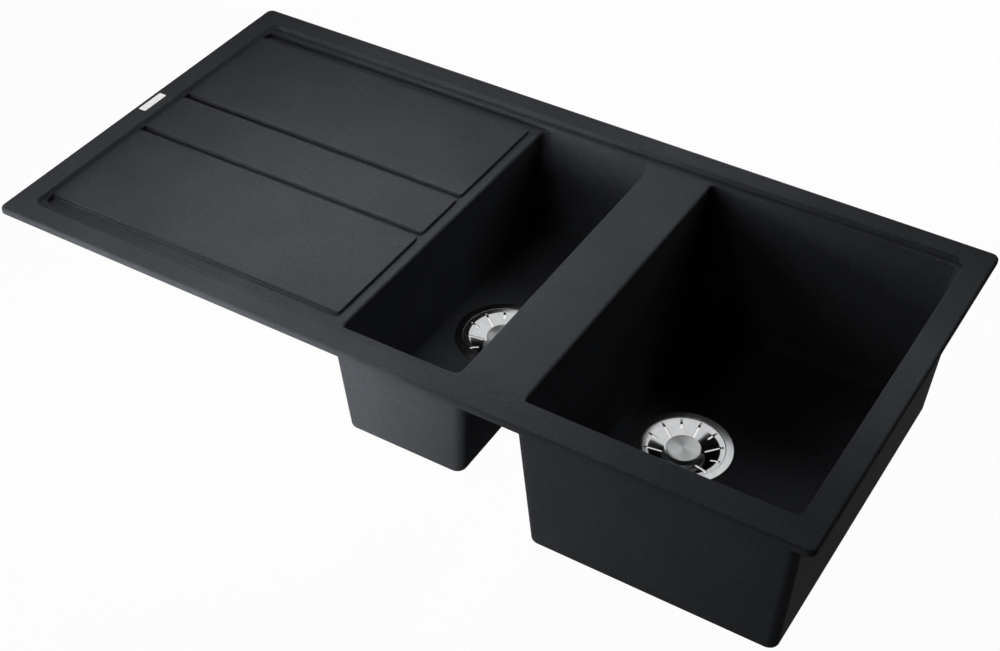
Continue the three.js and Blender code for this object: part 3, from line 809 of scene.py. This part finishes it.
def waste_cup(name, bowl):
    """The pressed flange and cup, with drain holes in its floor."""
    top = flange_top(bowl)
    seat = strainer_seat(bowl)
    closed = seal_low(bowl) - PLUG_TRAVEL - FIT
    slope = PLUG_SEAT_HEIGHT / (CUP_RADIUS - PLUG_SEAT_RADIUS)
    shoulder = closed + (CUP_RADIUS - SEAL_RADIUS) * slope
    foot = shoulder - PLUG_SEAT_HEIGHT
    floor = cup_floor(bowl)
    hole = SCREW_RADIUS + SLIDE
    profile = [
        (hole, floor - SHEET, 0.1),
        (CUP_FLOOR_RADIUS + SHEET, floor - SHEET, 2.5),
        (PLUG_SEAT_RADIUS + SHEET, foot - SHEET / 2, 1.5),
        (CUP_RADIUS + SHEET, shoulder - SHEET / 2, 1.5),
        (CUP_RADIUS + SHEET, seat - SHEET, 0.3),
        (STRAINER_SEAT_RADIUS + SHEET, seat - SHEET, 0.8),
        (STRAINER_SEAT_RADIUS + SHEET, top - SHEET, 0.3),
        (FLANGE_RADIUS, top - SHEET, 0.3),
        (FLANGE_RADIUS, top, 0.9),
        (STRAINER_SEAT_RADIUS, top, 0.2),
        (STRAINER_SEAT_RADIUS, seat, 0.4),
        (CUP_RADIUS, seat, 1),
        (CUP_RADIUS, shoulder, 1.5),
        (PLUG_SEAT_RADIUS, foot, 1.5),
        (CUP_FLOOR_RADIUS, floor, 2),
        (hole, floor, 0.1),
    ]
    cup = turned(f"{name}_flange_and_cup", profile, bowl["drain"])
    drill = rod("drill", CUP_HOLE_RADIUS, floor - SHEET - MARGIN, floor + MARGIN, (0, 0))
    drills = copies_round(drill, CUP_HOLES, CUP_HOLE_CIRCLE, 0, bowl["drain"])
    return smoothed(cut(cup, drills))


def strainer_plate(name, bowl):
    """The dished plate, pierced by twelve slots of two lengths."""
    rim_under = strainer_rim_under(bowl)
    shoulder = rim_under - STRAINER_SHOULDER_DROP
    flat = strainer_flat(bowl)
    hole = STEM_RADIUS + RUNNING + BUSH_WALL + FIT
    profile = [
        (hole, flat - SHEET, 0.1),
        (STRAINER_FLAT_RADIUS, flat - SHEET, 14),
        (STRAINER_SHOULDER_RADIUS, shoulder, 14),
        (STRAINER_RADIUS, rim_under, 0.3),
        (STRAINER_RADIUS, rim_under + SHEET, 0.25),
        (STRAINER_SHOULDER_RADIUS, shoulder + SHEET, 14),
        (STRAINER_FLAT_RADIUS, flat, 14),
        (hole, flat, 0.1),
    ]
    plate = turned(f"{name}_strainer", profile, bowl["drain"])
    low = flat - 2 * SHEET
    high = rim_under + SHEET + MARGIN
    spacing = 2 * math.pi / SLOTS
    for start, first in ((SHORT_SLOT_START, 0), (LONG_SLOT_START, spacing)):
        slot = bar("slot", start, SLOT_END, SLOT_WIDTH, low, high)
        plate = cut(plate, copies_round(slot, SLOTS // 2, 0, first, bowl["drain"]))
    return smoothed(plate)


def plug_knob(name, bowl):
    """The round knob, turned and brushed in rings."""
    under = knob_under(bowl)
    top = under + KNOB_THICKNESS
    socket = STEM_RADIUS + FIT
    profile = [
        (0, under + KNOB_SOCKET, 0),
        (socket, under + KNOB_SOCKET, 0.1),
        (socket, under, 0.1),
        (KNOB_RADIUS, under, 0.5),
        (KNOB_RADIUS, top, 0.7),
        (0, top - KNOB_HOLLOW, 0),
    ]
    return smoothed(turned(f"{name}_knob", profile, bowl["drain"]))


def plug_stem(name, bowl):
    high = knob_under(bowl) + KNOB_SOCKET - FIT
    low = disc_top(bowl) - PLUG_SOCKET + FIT
    profile = [(0, low, 0), (STEM_RADIUS, low, 0.4), (STEM_RADIUS, high, 0.4), (0, high, 0)]
    return smoothed(turned(f"{name}_stem", profile, bowl["drain"], SMALL_TURN_STEPS))


def stem_bush(name, bowl):
    """The flanged bush in the middle of the strainer."""
    top = strainer_flat(bowl)
    bore = STEM_RADIUS + RUNNING
    under = top - SHEET - FIT
    profile = [
        (bore, top - BUSH_LENGTH, 0.3),
        (bore + BUSH_WALL, top - BUSH_LENGTH, 0.3),
        (bore + BUSH_WALL, under - BUSH_FLANGE, 0.2),
        (BUSH_FLANGE_RADIUS, under - BUSH_FLANGE, 0.3),
        (BUSH_FLANGE_RADIUS, under, 0.3),
        (bore + BUSH_WALL, under, 0),
        (bore + BUSH_WALL, top, 0.3),
        (bore, top, 0.3),
    ]
    return smoothed(turned(f"{name}_bush", profile, bowl["drain"], SMALL_TURN_STEPS))


def plug_disc(name, bowl):
    """The dished disc that hangs under the strainer."""
    top = disc_top(bowl)
    under = top - PLUG_THICKNESS
    rim_top = plug_rim_top(bowl)
    rim_under = rim_top - PLUG_THICKNESS
    socket = STEM_RADIUS + FIT
    profile = [
        (0, under - PLUG_HUB_HEIGHT, 0),
        (PLUG_HUB_RADIUS, under - PLUG_HUB_HEIGHT, 0.8),
        (PLUG_HUB_RADIUS, under, 1.2),
        (PLUG_FLAT_RADIUS, under, 6),
        (PLUG_RIM_INNER, rim_under, 2),
        (PLUG_RADIUS, rim_under, 0.3),
        (PLUG_RADIUS, rim_top, 0.3),
        (PLUG_RIM_INNER, rim_top, 2),
        (PLUG_FLAT_RADIUS, top, 6),
        (socket, top, 0.2),
        (socket, top - PLUG_SOCKET, 0),
        (0, top - PLUG_SOCKET, 0),
    ]
    return smoothed(turned(f"{name}_plug_disc", profile, bowl["drain"]))


def plug_seal(name, bowl):
    """The seal that wraps the edge of the disc."""
    groove_top = plug_rim_top(bowl) + FIT
    groove_low = plug_rim_top(bowl) - PLUG_THICKNESS - FIT
    inner = PLUG_RIM_INNER + 2 * FIT
    web = PLUG_RADIUS + FIT
    profile = [
        (inner, seal_low(bowl), 0.25),
        (SEAL_RADIUS, seal_low(bowl), 0.9),
        (SEAL_RADIUS, groove_top + SEAL_ARM, 0.9),
        (inner, groove_top + SEAL_ARM, 0.25),
        (inner, groove_top, 0.1),
        (web, groove_top, 0.1),
        (web, groove_low, 0.1),
        (inner, groove_low, 0.1),
    ]
    return smoothed(turned(f"{name}_plug_seal", profile, bowl["drain"]))


def flange_gasket(name, bowl):
    low = strainer_seat(bowl) - SHEET
    high = flange_top(bowl) - SHEET - FIT
    inner = STRAINER_SEAT_RADIUS + SHEET + SLIDE
    made = tube(f"{name}_upper_gasket", inner, FLANGE_RADIUS - SLIDE, low, high, bowl["drain"], 0.4)
    return smoothed(made)


def body_gasket(name, bowl):
    """The thick gasket under the bowl, with a bulged outer edge."""
    high = boss_under(bowl) - FIT
    low = high - BODY_GASKET
    inner = BODY_RADIUS - BODY_WALL
    profile = [
        (inner, low, 0.4),
        (BODY_FLANGE_RADIUS - GASKET_BULGE, low, 0.8),
        (BODY_FLANGE_RADIUS, (low + high) / 2, 1.5),
        (BODY_FLANGE_RADIUS - GASKET_BULGE, high, 0.8),
        (inner, high, 0.4),
    ]
    return smoothed(turned(f"{name}_lower_gasket", profile, bowl["drain"]))


def threaded_sleeve(name, inner, outer, low, high, centre):
    """A sleeve with a real helical thread on its outside, smooth at both ends."""
    rows = int((high - low) / THREAD_PITCH * THREAD_ROWS_PER_TURN)
    steps = TURN_STEPS
    verts = []
    for k in range(rows + 1):
        z = low + (high - low) * k / rows
        fade = min(1, (z - low) / THREAD_RUN_IN, (high - z) / THREAD_RUN_OUT)
        for i in range(steps):
            phase = (z / THREAD_PITCH + i / steps) % 1
            depth = THREAD_DEPTH * abs(2 * phase - 1) * fade + THREAD_DEPTH * 0.5 * (1 - fade)
            turn = i / steps * 2 * math.pi
            r = outer - depth
            verts.append((centre[0] + r * math.cos(turn), centre[1] + r * math.sin(turn), z))
    verts += circle(centre, inner, high, steps) + circle(centre, inner, low, steps)
    faces = []
    total = rows + 3
    for k in range(total):
        for i in range(steps):
            j = (i + 1) % steps
            a = k * steps
            b = (k + 1) % total * steps
            faces.append((a + i, a + j, b + j, b + i))
    return new_object(name, verts, faces)


def waste_body(name, bowl):
    """The moulded waste body, with a threaded outlet and a ribbed hub for the screw."""
    top = body_top(bowl)
    barrel_end = top - BODY_DEPTH
    cone_end = barrel_end - CONE_HEIGHT
    bore = OUTLET_RADIUS - OUTLET_WALL
    barrel_bore = BODY_RADIUS - BODY_WALL
    neck = OUTLET_RADIUS - THREAD_DEPTH
    profile = [
        (bore, cone_end - MARGIN, 0),
        (neck, cone_end - MARGIN, 0),
        (neck, cone_end, 1.5),
        (BODY_RADIUS, barrel_end, 4),
        (BODY_RADIUS, top - BODY_FLANGE, 1.2),
        (BODY_FLANGE_RADIUS, top - BODY_FLANGE, 1),
        (BODY_FLANGE_RADIUS, top, 0.6),
        (barrel_bore, top, 0.4),
        (barrel_bore, barrel_end + BODY_WALL, 3),
        (bore, cone_end + BODY_WALL, 2),
    ]
    shell = turned(f"{name}_waste_body", profile, bowl["drain"])
    low = cone_end - OUTLET_LENGTH
    sleeve = threaded_sleeve("outlet", bore, OUTLET_RADIUS, low, cone_end - FIT, bowl["drain"])
    hub_top = insert_top(bowl)
    hub_end = hub_top - HUB_LENGTH
    hub = rod("hub", HUB_RADIUS, hub_end, hub_top, bowl["drain"])
    rib = bar("rib", 0, bore + BODY_WALL, HUB_RIB, hub_end, hub_end + HUB_RIB_HEIGHT)
    ribs = copies_round(rib, HUB_RIBS, 0, 0, bowl["drain"])
    shell = joined(shell, sleeve, hub, ribs)
    insert_end = hub_top - INSERT_LENGTH - FIT
    socket = rod("socket", INSERT_RADIUS + FIT, insert_end, hub_top + MARGIN, bowl["drain"])
    way = rod("way", SCREW_RADIUS + SLIDE, hub_end - MARGIN, hub_top, bowl["drain"])
    return smoothed(cut(shell, socket, way), THREAD_SHARP_ANGLE)


def threaded_insert(name, bowl):
    top = insert_top(bowl)
    bore = SCREW_RADIUS + RUNNING
    low = top - INSERT_LENGTH
    place = bowl["drain"]
    return smoothed(tube(f"{name}_insert", bore, INSERT_RADIUS, low, top, place, 0.3, SMALL_TURN_STEPS))


def clamp_screw(name, bowl):
    """The slotted screw that holds the cup to the waste body."""
    seat = cup_floor(bowl) + FIT
    head = seat + SCREW_HEAD
    end = insert_top(bowl) - INSERT_LENGTH
    profile = [
        (0, end, 0),
        (SCREW_RADIUS, end, 0.6),
        (SCREW_RADIUS, seat, 0.1),
        (SCREW_HEAD_RADIUS, seat, 0.2),
        (SCREW_HEAD_RADIUS, seat + SCREW_HEAD_EDGE, 0.5),
        (SCREW_HEAD_RADIUS - SCREW_HEAD_DOME, head, 1.5),
        (0, head, 0),
    ]
    screw = turned(f"{name}_screw", profile, bowl["drain"], SMALL_TURN_STEPS)
    reach = SCREW_HEAD_RADIUS + MARGIN
    slot = bar("slot", -reach, reach, SCREW_SLOT, head - SCREW_SLOT_DEPTH, head + MARGIN)
    return smoothed(cut(screw, copies_round(slot, 1, 0, 0, bowl["drain"])))


# ---- finishes


SOCKET_KINDS = {1: "NodeSocketFloat", 3: "NodeSocketVector", 4: "NodeSocketColor"}

# how fine each mark is
FLECKS_PER_METRE = 1100
GRAINS_PER_METRE = 2600
CLOUDS_PER_METRE = 14
RING_BREAKS_PER_RADIAN = 0.8
RING_BREAKS_PER_METRE_UP = 600
SMUDGES_PER_METRE = 60
STAINS_PER_METRE = 45


def shade_group(name, inputs, outputs):
    """A shader group with the given sockets, its inputs' values and its exit."""
    tree = bpy.data.node_groups.new(name, "ShaderNodeTree")
    for label, value in inputs.items():
        parts = len(value) if isinstance(value, tuple) else 1
        node_input(tree, label, SOCKET_KINDS[parts], value)
    for label, parts in outputs.items():
        tree.interface.new_socket(label, in_out="OUTPUT", socket_type=SOCKET_KINDS[parts])
    return tree, tree.nodes.new("NodeGroupInput").outputs, tree.nodes.new("NodeGroupOutput")


def ranged(tree, value, low, high, new_low, new_high):
    """Maps a value from one range to another, clamped."""
    limits = {"From Min": low, "From Max": high, "To Min": new_low, "To Max": new_high}
    return worked_out(tree, "ShaderNodeMapRange", {"Value": value, **limits})


def noise(tree, vector, scale, detail=3, roughness=0.55):
    """A noise node at a scale per metre."""
    given = {"Vector": vector, "Scale": scale, "Detail": detail, "Roughness": roughness}
    return worked_out(tree, "ShaderNodeTexNoise", given)


def tinted(tree, share, dark, light):
    """A colour between two, by a share."""
    node = tree.nodes.new("ShaderNodeMix")
    node.data_type = "RGBA"
    given = {"Factor": share}
    places = [i for i, socket in enumerate(node.inputs) if socket.type == "RGBA"]
    for place, colour in zip(places, (dark, light)):
        given[place] = (*colour, 1) if isinstance(colour, tuple) else colour
    feed(tree, node, given)
    return next(socket for socket in node.outputs if socket.type == "RGBA")


def granite_group():
    """Fine mineral grain: colour, roughness and height of a moulded composite."""
    tree, given, result = shade_group(
        "granite_grain",
        {"Vector": (0, 0, 0), "Dark": (0, 0, 0, 1), "Light": (1, 1, 1, 1), "Roughness": 0.5},
        {"Color": 4, "Roughness": 1, "Height": 1},
    )
    place = given["Vector"]
    cells = tree.nodes.new("ShaderNodeTexVoronoi")
    feed(tree, cells, {"Vector": place, "Scale": FLECKS_PER_METRE})
    pick = worked_out(tree, "ShaderNodeSeparateColor", {"Color": cells.outputs["Color"]})
    flecks = ranged(tree, pick, 0.86, 1.0, 0, 1)
    fine = noise(tree, place, GRAINS_PER_METRE, 4, 0.6)
    cloud = noise(tree, place, CLOUDS_PER_METRE, 4, 0.5)
    tone = maths(tree, "MULTIPLY", flecks, 0.45)
    tone = maths(tree, "ADD", tone, ranged(tree, fine, 0.3, 0.7, 0.0, 0.5))
    tone = maths(tree, "ADD", tone, ranged(tree, cloud, 0.3, 0.7, -0.06, 0.06))
    colour = tinted(tree, tone, given["Dark"], given["Light"])
    rough = maths(tree, "ADD", given["Roughness"], ranged(tree, cloud, 0.3, 0.7, -0.02, 0.02))
    rough = maths(tree, "ADD", rough, ranged(tree, fine, 0.3, 0.7, -0.05, 0.05))
    height = maths(tree, "ADD", fine, maths(tree, "MULTIPLY", cells.outputs["Distance"], 0.5))
    feed(tree, result, {"Color": colour, "Roughness": rough, "Height": height})
    return tree


def ring_group():
    """Fine rings round a centre, as left by turning or polishing."""
    tree, given, result = shade_group(
        "turned_rings",
        {"Vector": (0, 0, 0), "Centre": (0, 0, 0), "Rings per metre": 1, "Roughness": 0.5, "Spread": 0},
        {"Roughness": 1, "Height": 1, "Stain": 1},
    )
    parts = tree.nodes.new("ShaderNodeSeparateXYZ")
    feed(tree, parts, {"Vector": vectors(tree, "SUBTRACT", given["Vector"], given["Centre"])})
    x, y, z = parts.outputs
    squares = [maths(tree, "MULTIPLY", part, part) for part in (x, y)]
    radius = maths(tree, "SQRT", maths(tree, "ADD", *squares))
    polar = {
        "X": maths(tree, "MULTIPLY", radius, given["Rings per metre"]),
        "Y": maths(tree, "MULTIPLY", maths(tree, "ARCTAN2", y, x), RING_BREAKS_PER_RADIAN),
        "Z": maths(tree, "MULTIPLY", z, RING_BREAKS_PER_METRE_UP),
    }
    rings = noise(tree, worked_out(tree, "ShaderNodeCombineXYZ", polar), 1, 3, 0.6)
    smudge = noise(tree, given["Vector"], SMUDGES_PER_METRE, 4, 0.6)
    spread = given["Spread"]
    rough = maths(tree, "ADD", given["Roughness"], maths(tree, "MULTIPLY", rings, spread))
    rough = maths(tree, "ADD", rough, maths(tree, "MULTIPLY", smudge, spread))
    stain = ranged(tree, smudge, 0.35, 0.65, 0, 1)
    feed(tree, result, {"Roughness": rough, "Height": rings, "Stain": stain})
    return tree


def moulded_group():
    """Soft unevenness of a moulded skin."""
    tree, given, result = shade_group(
        "moulded_skin",
        {"Vector": (0, 0, 0), "Grain per metre": 1, "Roughness": 0.5, "Spread": 0},
        {"Roughness": 1, "Height": 1, "Stain": 1},
    )
    grain = noise(tree, given["Vector"], given["Grain per metre"], 4, 0.6)
    cloud = noise(tree, given["Vector"], STAINS_PER_METRE, 3, 0.5)
    offset = maths(tree, "MULTIPLY", maths(tree, "SUBTRACT", cloud, 0.5), given["Spread"])
    rough = maths(tree, "ADD", given["Roughness"], offset)
    stain = ranged(tree, cloud, 0.3, 0.7, 0, 1)
    feed(tree, result, {"Roughness": rough, "Height": grain, "Stain": stain})
    return tree


def new_material(name):
    """A material with its Principled shader and object coordinates at hand."""
    material = bpy.data.materials.new(name)
    material.use_nodes = True
    tree = material.node_tree
    shader = tree.nodes["Principled BSDF"]
    place = tree.nodes.new("ShaderNodeTexCoord").outputs["Object"]
    return material, tree, shader, place


def use_group(tree, group, place, given):
    """Adds a shared group to a material and feeds its inputs."""
    node = tree.nodes.new("ShaderNodeGroup")
    node.node_tree = group
    feed(tree, node, {"Vector": place, **given})
    return node.outputs


def add_bump(tree, shader, height, distance, strength=1.0):
    """Turns a height into a bumped normal."""
    given = {"Distance": distance, "Strength": strength, "Height": height}
    feed(tree, shader, {"Normal": worked_out(tree, "ShaderNodeBump", given)})


def composite_material():
    """Black granite composite with a satin face."""
    material, tree, shader, place = new_material("granite_composite")
    colours = {"Dark": (0.0305, 0.0323, 0.0356, 1), "Light": (0.0883, 0.0936, 0.1029, 1)}
    grain = use_group(tree, GRANITE, place, {**colours, "Roughness": 0.36})
    feed(tree, shader, {"Base Color": grain["Color"], "Roughness": grain["Roughness"]})
    feed(tree, shader, {"Specular IOR Level": 0.0002})
    add_bump(tree, shader, grain["Height"], 0.00006, 0.6)
    return material


def turned_metal(name, dark, light, roughness, spread, centre, rings=4000, anisotropy=0.0):
    """Metal with fine rings about one drain."""
    material, tree, shader, place = new_material(name)
    middle = (centre[0] * MM, centre[1] * MM, 0)
    given = {"Centre": middle, "Rings per metre": rings, "Roughness": roughness, "Spread": spread}
    marks = use_group(tree, RINGS, place, given)
    colour = tinted(tree, marks["Stain"], dark, light)
    feed(tree, shader, {"Base Color": colour, "Roughness": marks["Roughness"]})
    feed(tree, shader, {"Metallic": 1, "Anisotropic": anisotropy})
    if anisotropy:
        away = vectors(tree, "SUBTRACT", place, middle)
        around = vectors(tree, "CROSS_PRODUCT", away, (0, 0, 1))
        feed(tree, shader, {"Tangent": vectors(tree, "NORMALIZE", around)})
    add_bump(tree, shader, marks["Height"], 0.000004)
    return material


def skin_material(name, dark, light, roughness, spread, grain, depth, metallic=0.0):
    """Plastic, rubber or plain metal with a moulded or milled skin."""
    material, tree, shader, place = new_material(name)
    given = {"Grain per metre": grain, "Roughness": roughness, "Spread": spread}
    skin = use_group(tree, SKIN, place, given)
    colour = tinted(tree, skin["Stain"], dark, light)
    feed(tree, shader, {"Base Color": colour, "Roughness": skin["Roughness"], "Metallic": metallic})
    add_bump(tree, shader, skin["Height"], depth)
    return material


def plug_material():
    """White plastic with a painted glow for camera rays only, so it shows bright under the slots
    without lighting the cup.
    """
    colours = ((0.78, 0.79, 0.77), (0.86, 0.87, 0.85))
    material = skin_material("white_plug_painted_glow", *colours, 0.45, 0.1, 500, 0.00002)
    tree = material.node_tree
    # painted glow: camera rays see the plastic shine white, though it is no lamp
    rays = tree.nodes.new("ShaderNodeLightPath")
    glow = maths(tree, "MULTIPLY", rays.outputs["Is Camera Ray"], 0.8)
    given = {"Emission Color": (1, 1, 0.99, 1), "Emission Strength": glow}
    feed(tree, tree.nodes["Principled BSDF"], given)
    return material


GRANITE = granite_group()
RINGS = ring_group()
SKIN = moulded_group()

# ---- dressing the frame


def dress(piece, node, material):
    """Lets a piece stand for its CAD node, with its finish."""
    piece.data.materials.clear()
    piece.data.materials.append(material)
    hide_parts(node)
    body = next(name for name, nodes in frame["record"]["behaviour"]["bodies"].items() if node in nodes)
    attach(piece, body)


def dress_sink():
    """The moulded body and the plate on its rim."""
    dress(sink_casting(), "sink_body", composite_material())
    colours = ((0.74, 0.74, 0.73), (0.8, 0.8, 0.79))
    satin = skin_material("satin_plate", *colours, 0.32, 0.06, 1500, 0.000004, 1.0)
    dress(rim_plate(), "name_plate", satin)


WASTE_SKINS = (
    ("screw_steel", (0.5, 0.5, 0.5), (0.62, 0.62, 0.62), 0.25, 0.1, 1200, 0.000006, 1.0),
    ("turned_brass", (0.45, 0.29, 0.09), (0.6, 0.42, 0.16), 0.3, 0.12, 1200, 0.000006, 1.0),
    ("white_bush", (0.66, 0.67, 0.65), (0.74, 0.75, 0.73), 0.42, 0.1, 700, 0.00002),
    ("gasket_rubber", (0.012, 0.012, 0.012), (0.028, 0.028, 0.027), 0.7, 0.15, 1100, 0.00004),
    ("dark_moulding", (0.024, 0.025, 0.026), (0.036, 0.037, 0.039), 0.45, 0.15, 800, 0.00004),
)
POLISHED = ((0.52, 0.53, 0.54), (0.58, 0.59, 0.6), 0.07, 0.05)
BRUSHED = ((0.55, 0.56, 0.57), (0.68, 0.69, 0.7), 0.2, 0.12)
BRUSHED_RINGS = 6000
BRUSHED_ANISOTROPY = 0.75


def dress_waste(name, bowl, shared):
    """All pieces of one waste, each under its maker's name."""
    screw, brass, white, rubber, grey, plug = shared
    centre = bowl["drain"]
    polished = turned_metal(f"{name}_polished", *POLISHED, centre)
    brushed = turned_metal(f"{name}_brushed", *BRUSHED, centre, BRUSHED_RINGS, BRUSHED_ANISOTROPY)
    pieces = (
        (waste_cup, "polished_steel", polished),
        (strainer_plate, "polished_steel", polished),
        (plug_knob, "brushed_steel", brushed),
        (plug_stem, "brushed_steel", brushed),
        (clamp_screw, "brushed_steel", screw),
        (threaded_insert, "brass", brass),
        (stem_bush, "white_plastic", white),
        # the plug disc and its seal share the white plastic with the painted glow
        (plug_disc, "white_plastic", plug),
        (plug_seal, "white_silicone", plug),
        (flange_gasket, "black_rubber", rubber),
        (body_gasket, "black_rubber", rubber),
        (waste_body, "grey_plastic", grey),
    )
    for make, slot, material in pieces:
        dress(make(name, bowl), f"{name}_{make.__name__}", material)


def dress_wastes():
    shared = [skin_material(*skin) for skin in WASTE_SKINS] + [plug_material()]
    for name, bowl in BOWLS.items():
        dress_waste(name, bowl, shared)


# ---- studio


FLOOR_LEVEL = -274.5
FLOOR_REACH = 6000
FLOOR_WHITE = 0.97


def shown_white(tree):
    """1 for rays from the camera, a mirror or glass, which show the white surroundings."""
    rays = tree.nodes.new("ShaderNodeLightPath")
    seen = maths(tree, "MAXIMUM", rays.outputs["Is Camera Ray"], rays.outputs["Is Glossy Ray"])
    return maths(tree, "MAXIMUM", seen, rays.outputs["Is Transmission Ray"])


def pale_floor():
    """A wide pale floor that shows white and keeps a soft shadow."""
    signs = ((-1, -1), (1, -1), (1, 1), (-1, 1))
    corners = [(x * FLOOR_REACH, y * FLOOR_REACH, FLOOR_LEVEL) for x, y in signs]
    floor = new_object("floor", corners, [(0, 1, 2, 3)])
    material, tree, shader, place = new_material("pale_floor")
    cloud = noise(tree, place, 9, 3)
    colour = tinted(tree, cloud, (0.86, 0.86, 0.86), (0.9, 0.9, 0.9))
    feed(tree, shader, {"Base Color": colour, "Roughness": 0.9, "Specular IOR Level": 0})
    glow = tree.nodes.new("ShaderNodeEmission")
    feed(tree, glow, {"Strength": 1})
    share = maths(tree, "MULTIPLY", shown_white(tree), FLOOR_WHITE)
    mix = tree.nodes.new("ShaderNodeMixShader")
    feed(tree, mix, {0: share, 1: shader.outputs["BSDF"], 2: glow.outputs["Emission"]})
    tree.links.new(mix.outputs["Shader"], tree.nodes["Material Output"].inputs["Surface"])
    floor.data.materials.append(material)


def white_world():
    """A white room that shows white and lights nothing."""
    world = bpy.data.worlds.new("studio")
    bpy.context.scene.world = world
    world.use_nodes = True
    tree = world.node_tree
    feed(tree, tree.nodes["Background"], {"Color": (1, 1, 1, 1), "Strength": shown_white(tree)})


def soft_light(name, place, target, size, power, spread, mirrored):
    """A soft square lamp aimed at a point, with its beam's spread in degrees."""
    lamp = bpy.data.lights.new(name, "AREA")
    lamp.size = size
    lamp.energy = power
    lamp.spread = math.radians(spread)
    made = placed(name, lamp)
    made.location = place
    made.visible_glossy = mirrored
    aim = Vector(target) - Vector(place)
    made.rotation_euler = aim.to_track_quat("-Z", "Y").to_euler()


LIGHTS = (
    ("back_panel", (0, 1.994, 0.93), (0, 0, 0), 1.2, 28.0, 180, False),
    ("front_left_panel", (-0.8, -1.15, 0.62), (-0.3, -0.2, 0), 0.6, 5.8, 180, True),
    ("front_beam", (-0.3, -1.3, 0), (-0.3, -0.25, 0), 0.35, 1.15, 40, True),
    ("left_beam", (-1.3, -0.9, 0.25), (-0.35, -0.2, 0), 0.35, 0.9, 45, True),
    ("drainer_pool_front", (-0.3, -0.9, 0.8), (-0.12, -0.15, 0), 0.3, 0.12, 32, True),
    ("drainer_pool_back", (-0.7, 0.8, 0.9), (-0.12, -0.14, 0), 0.3, 0.6, 30, False),
    ("drainer_pool_top", (-0.15, -0.1, 1.3), (-0.15, -0.1, 0), 0.3, 0.035, 28, False),
    ("half_bowl_beam", (-0.05, -1.3, 0.05), (-0.05, -0.25, -0.08), 0.25, 0.16, 18, True),
    ("bridge_pool", (0.14, 1.5, 0.5), (0.14, 0.08, 0), 0.2, 0.17, 14, False),
    ("bowls_pool", (0.3, 1.5, 1.4), (0.3, -0.1, -0.1), 0.3, 0.14, 30, False),
    ("right_rim_pool", (-0.1, 0.1, 0.9), (0.5, 0.03, 0), 0.2, 0.06, 17, False),
    ("left_front_pool", (-0.6, -0.9, 0.7), (-0.33, -0.25, 0), 0.3, 0.1, 22, True),
    ("main_front_pool", (0.1, -1.4, -0.05), (0.18, -0.25, -0.12), 0.3, 0.07, 35, True),
)


def photo_camera():
    """The camera at the photograph's place."""
    right = Vector((0.85452, 0.51941, 0.00249))
    down = Vector((0.34259, -0.56, -0.75434))
    forward = Vector((-0.39042, 0.64545, -0.65648))
    camera = placed("camera", bpy.data.cameras.new("camera"))
    camera.data.sensor_width = 36
    camera.data.lens = 62.08
    turn = Matrix((right, -down, -forward)).transposed()
    camera.matrix_world = Matrix.Translation((0.79538, -1.29604, 1.19085)) @ turn.to_4x4()
    camera.data.clip_start = 0.05
    camera.data.clip_end = 40
    bpy.context.scene.camera = camera


def studio():
    pale_floor()
    white_world()
    for light in LIGHTS:
        soft_light(*light)
    photo_camera()
    bpy.context.scene.view_settings.view_transform = "Standard"


dress_sink()
dress_wastes()
studio()
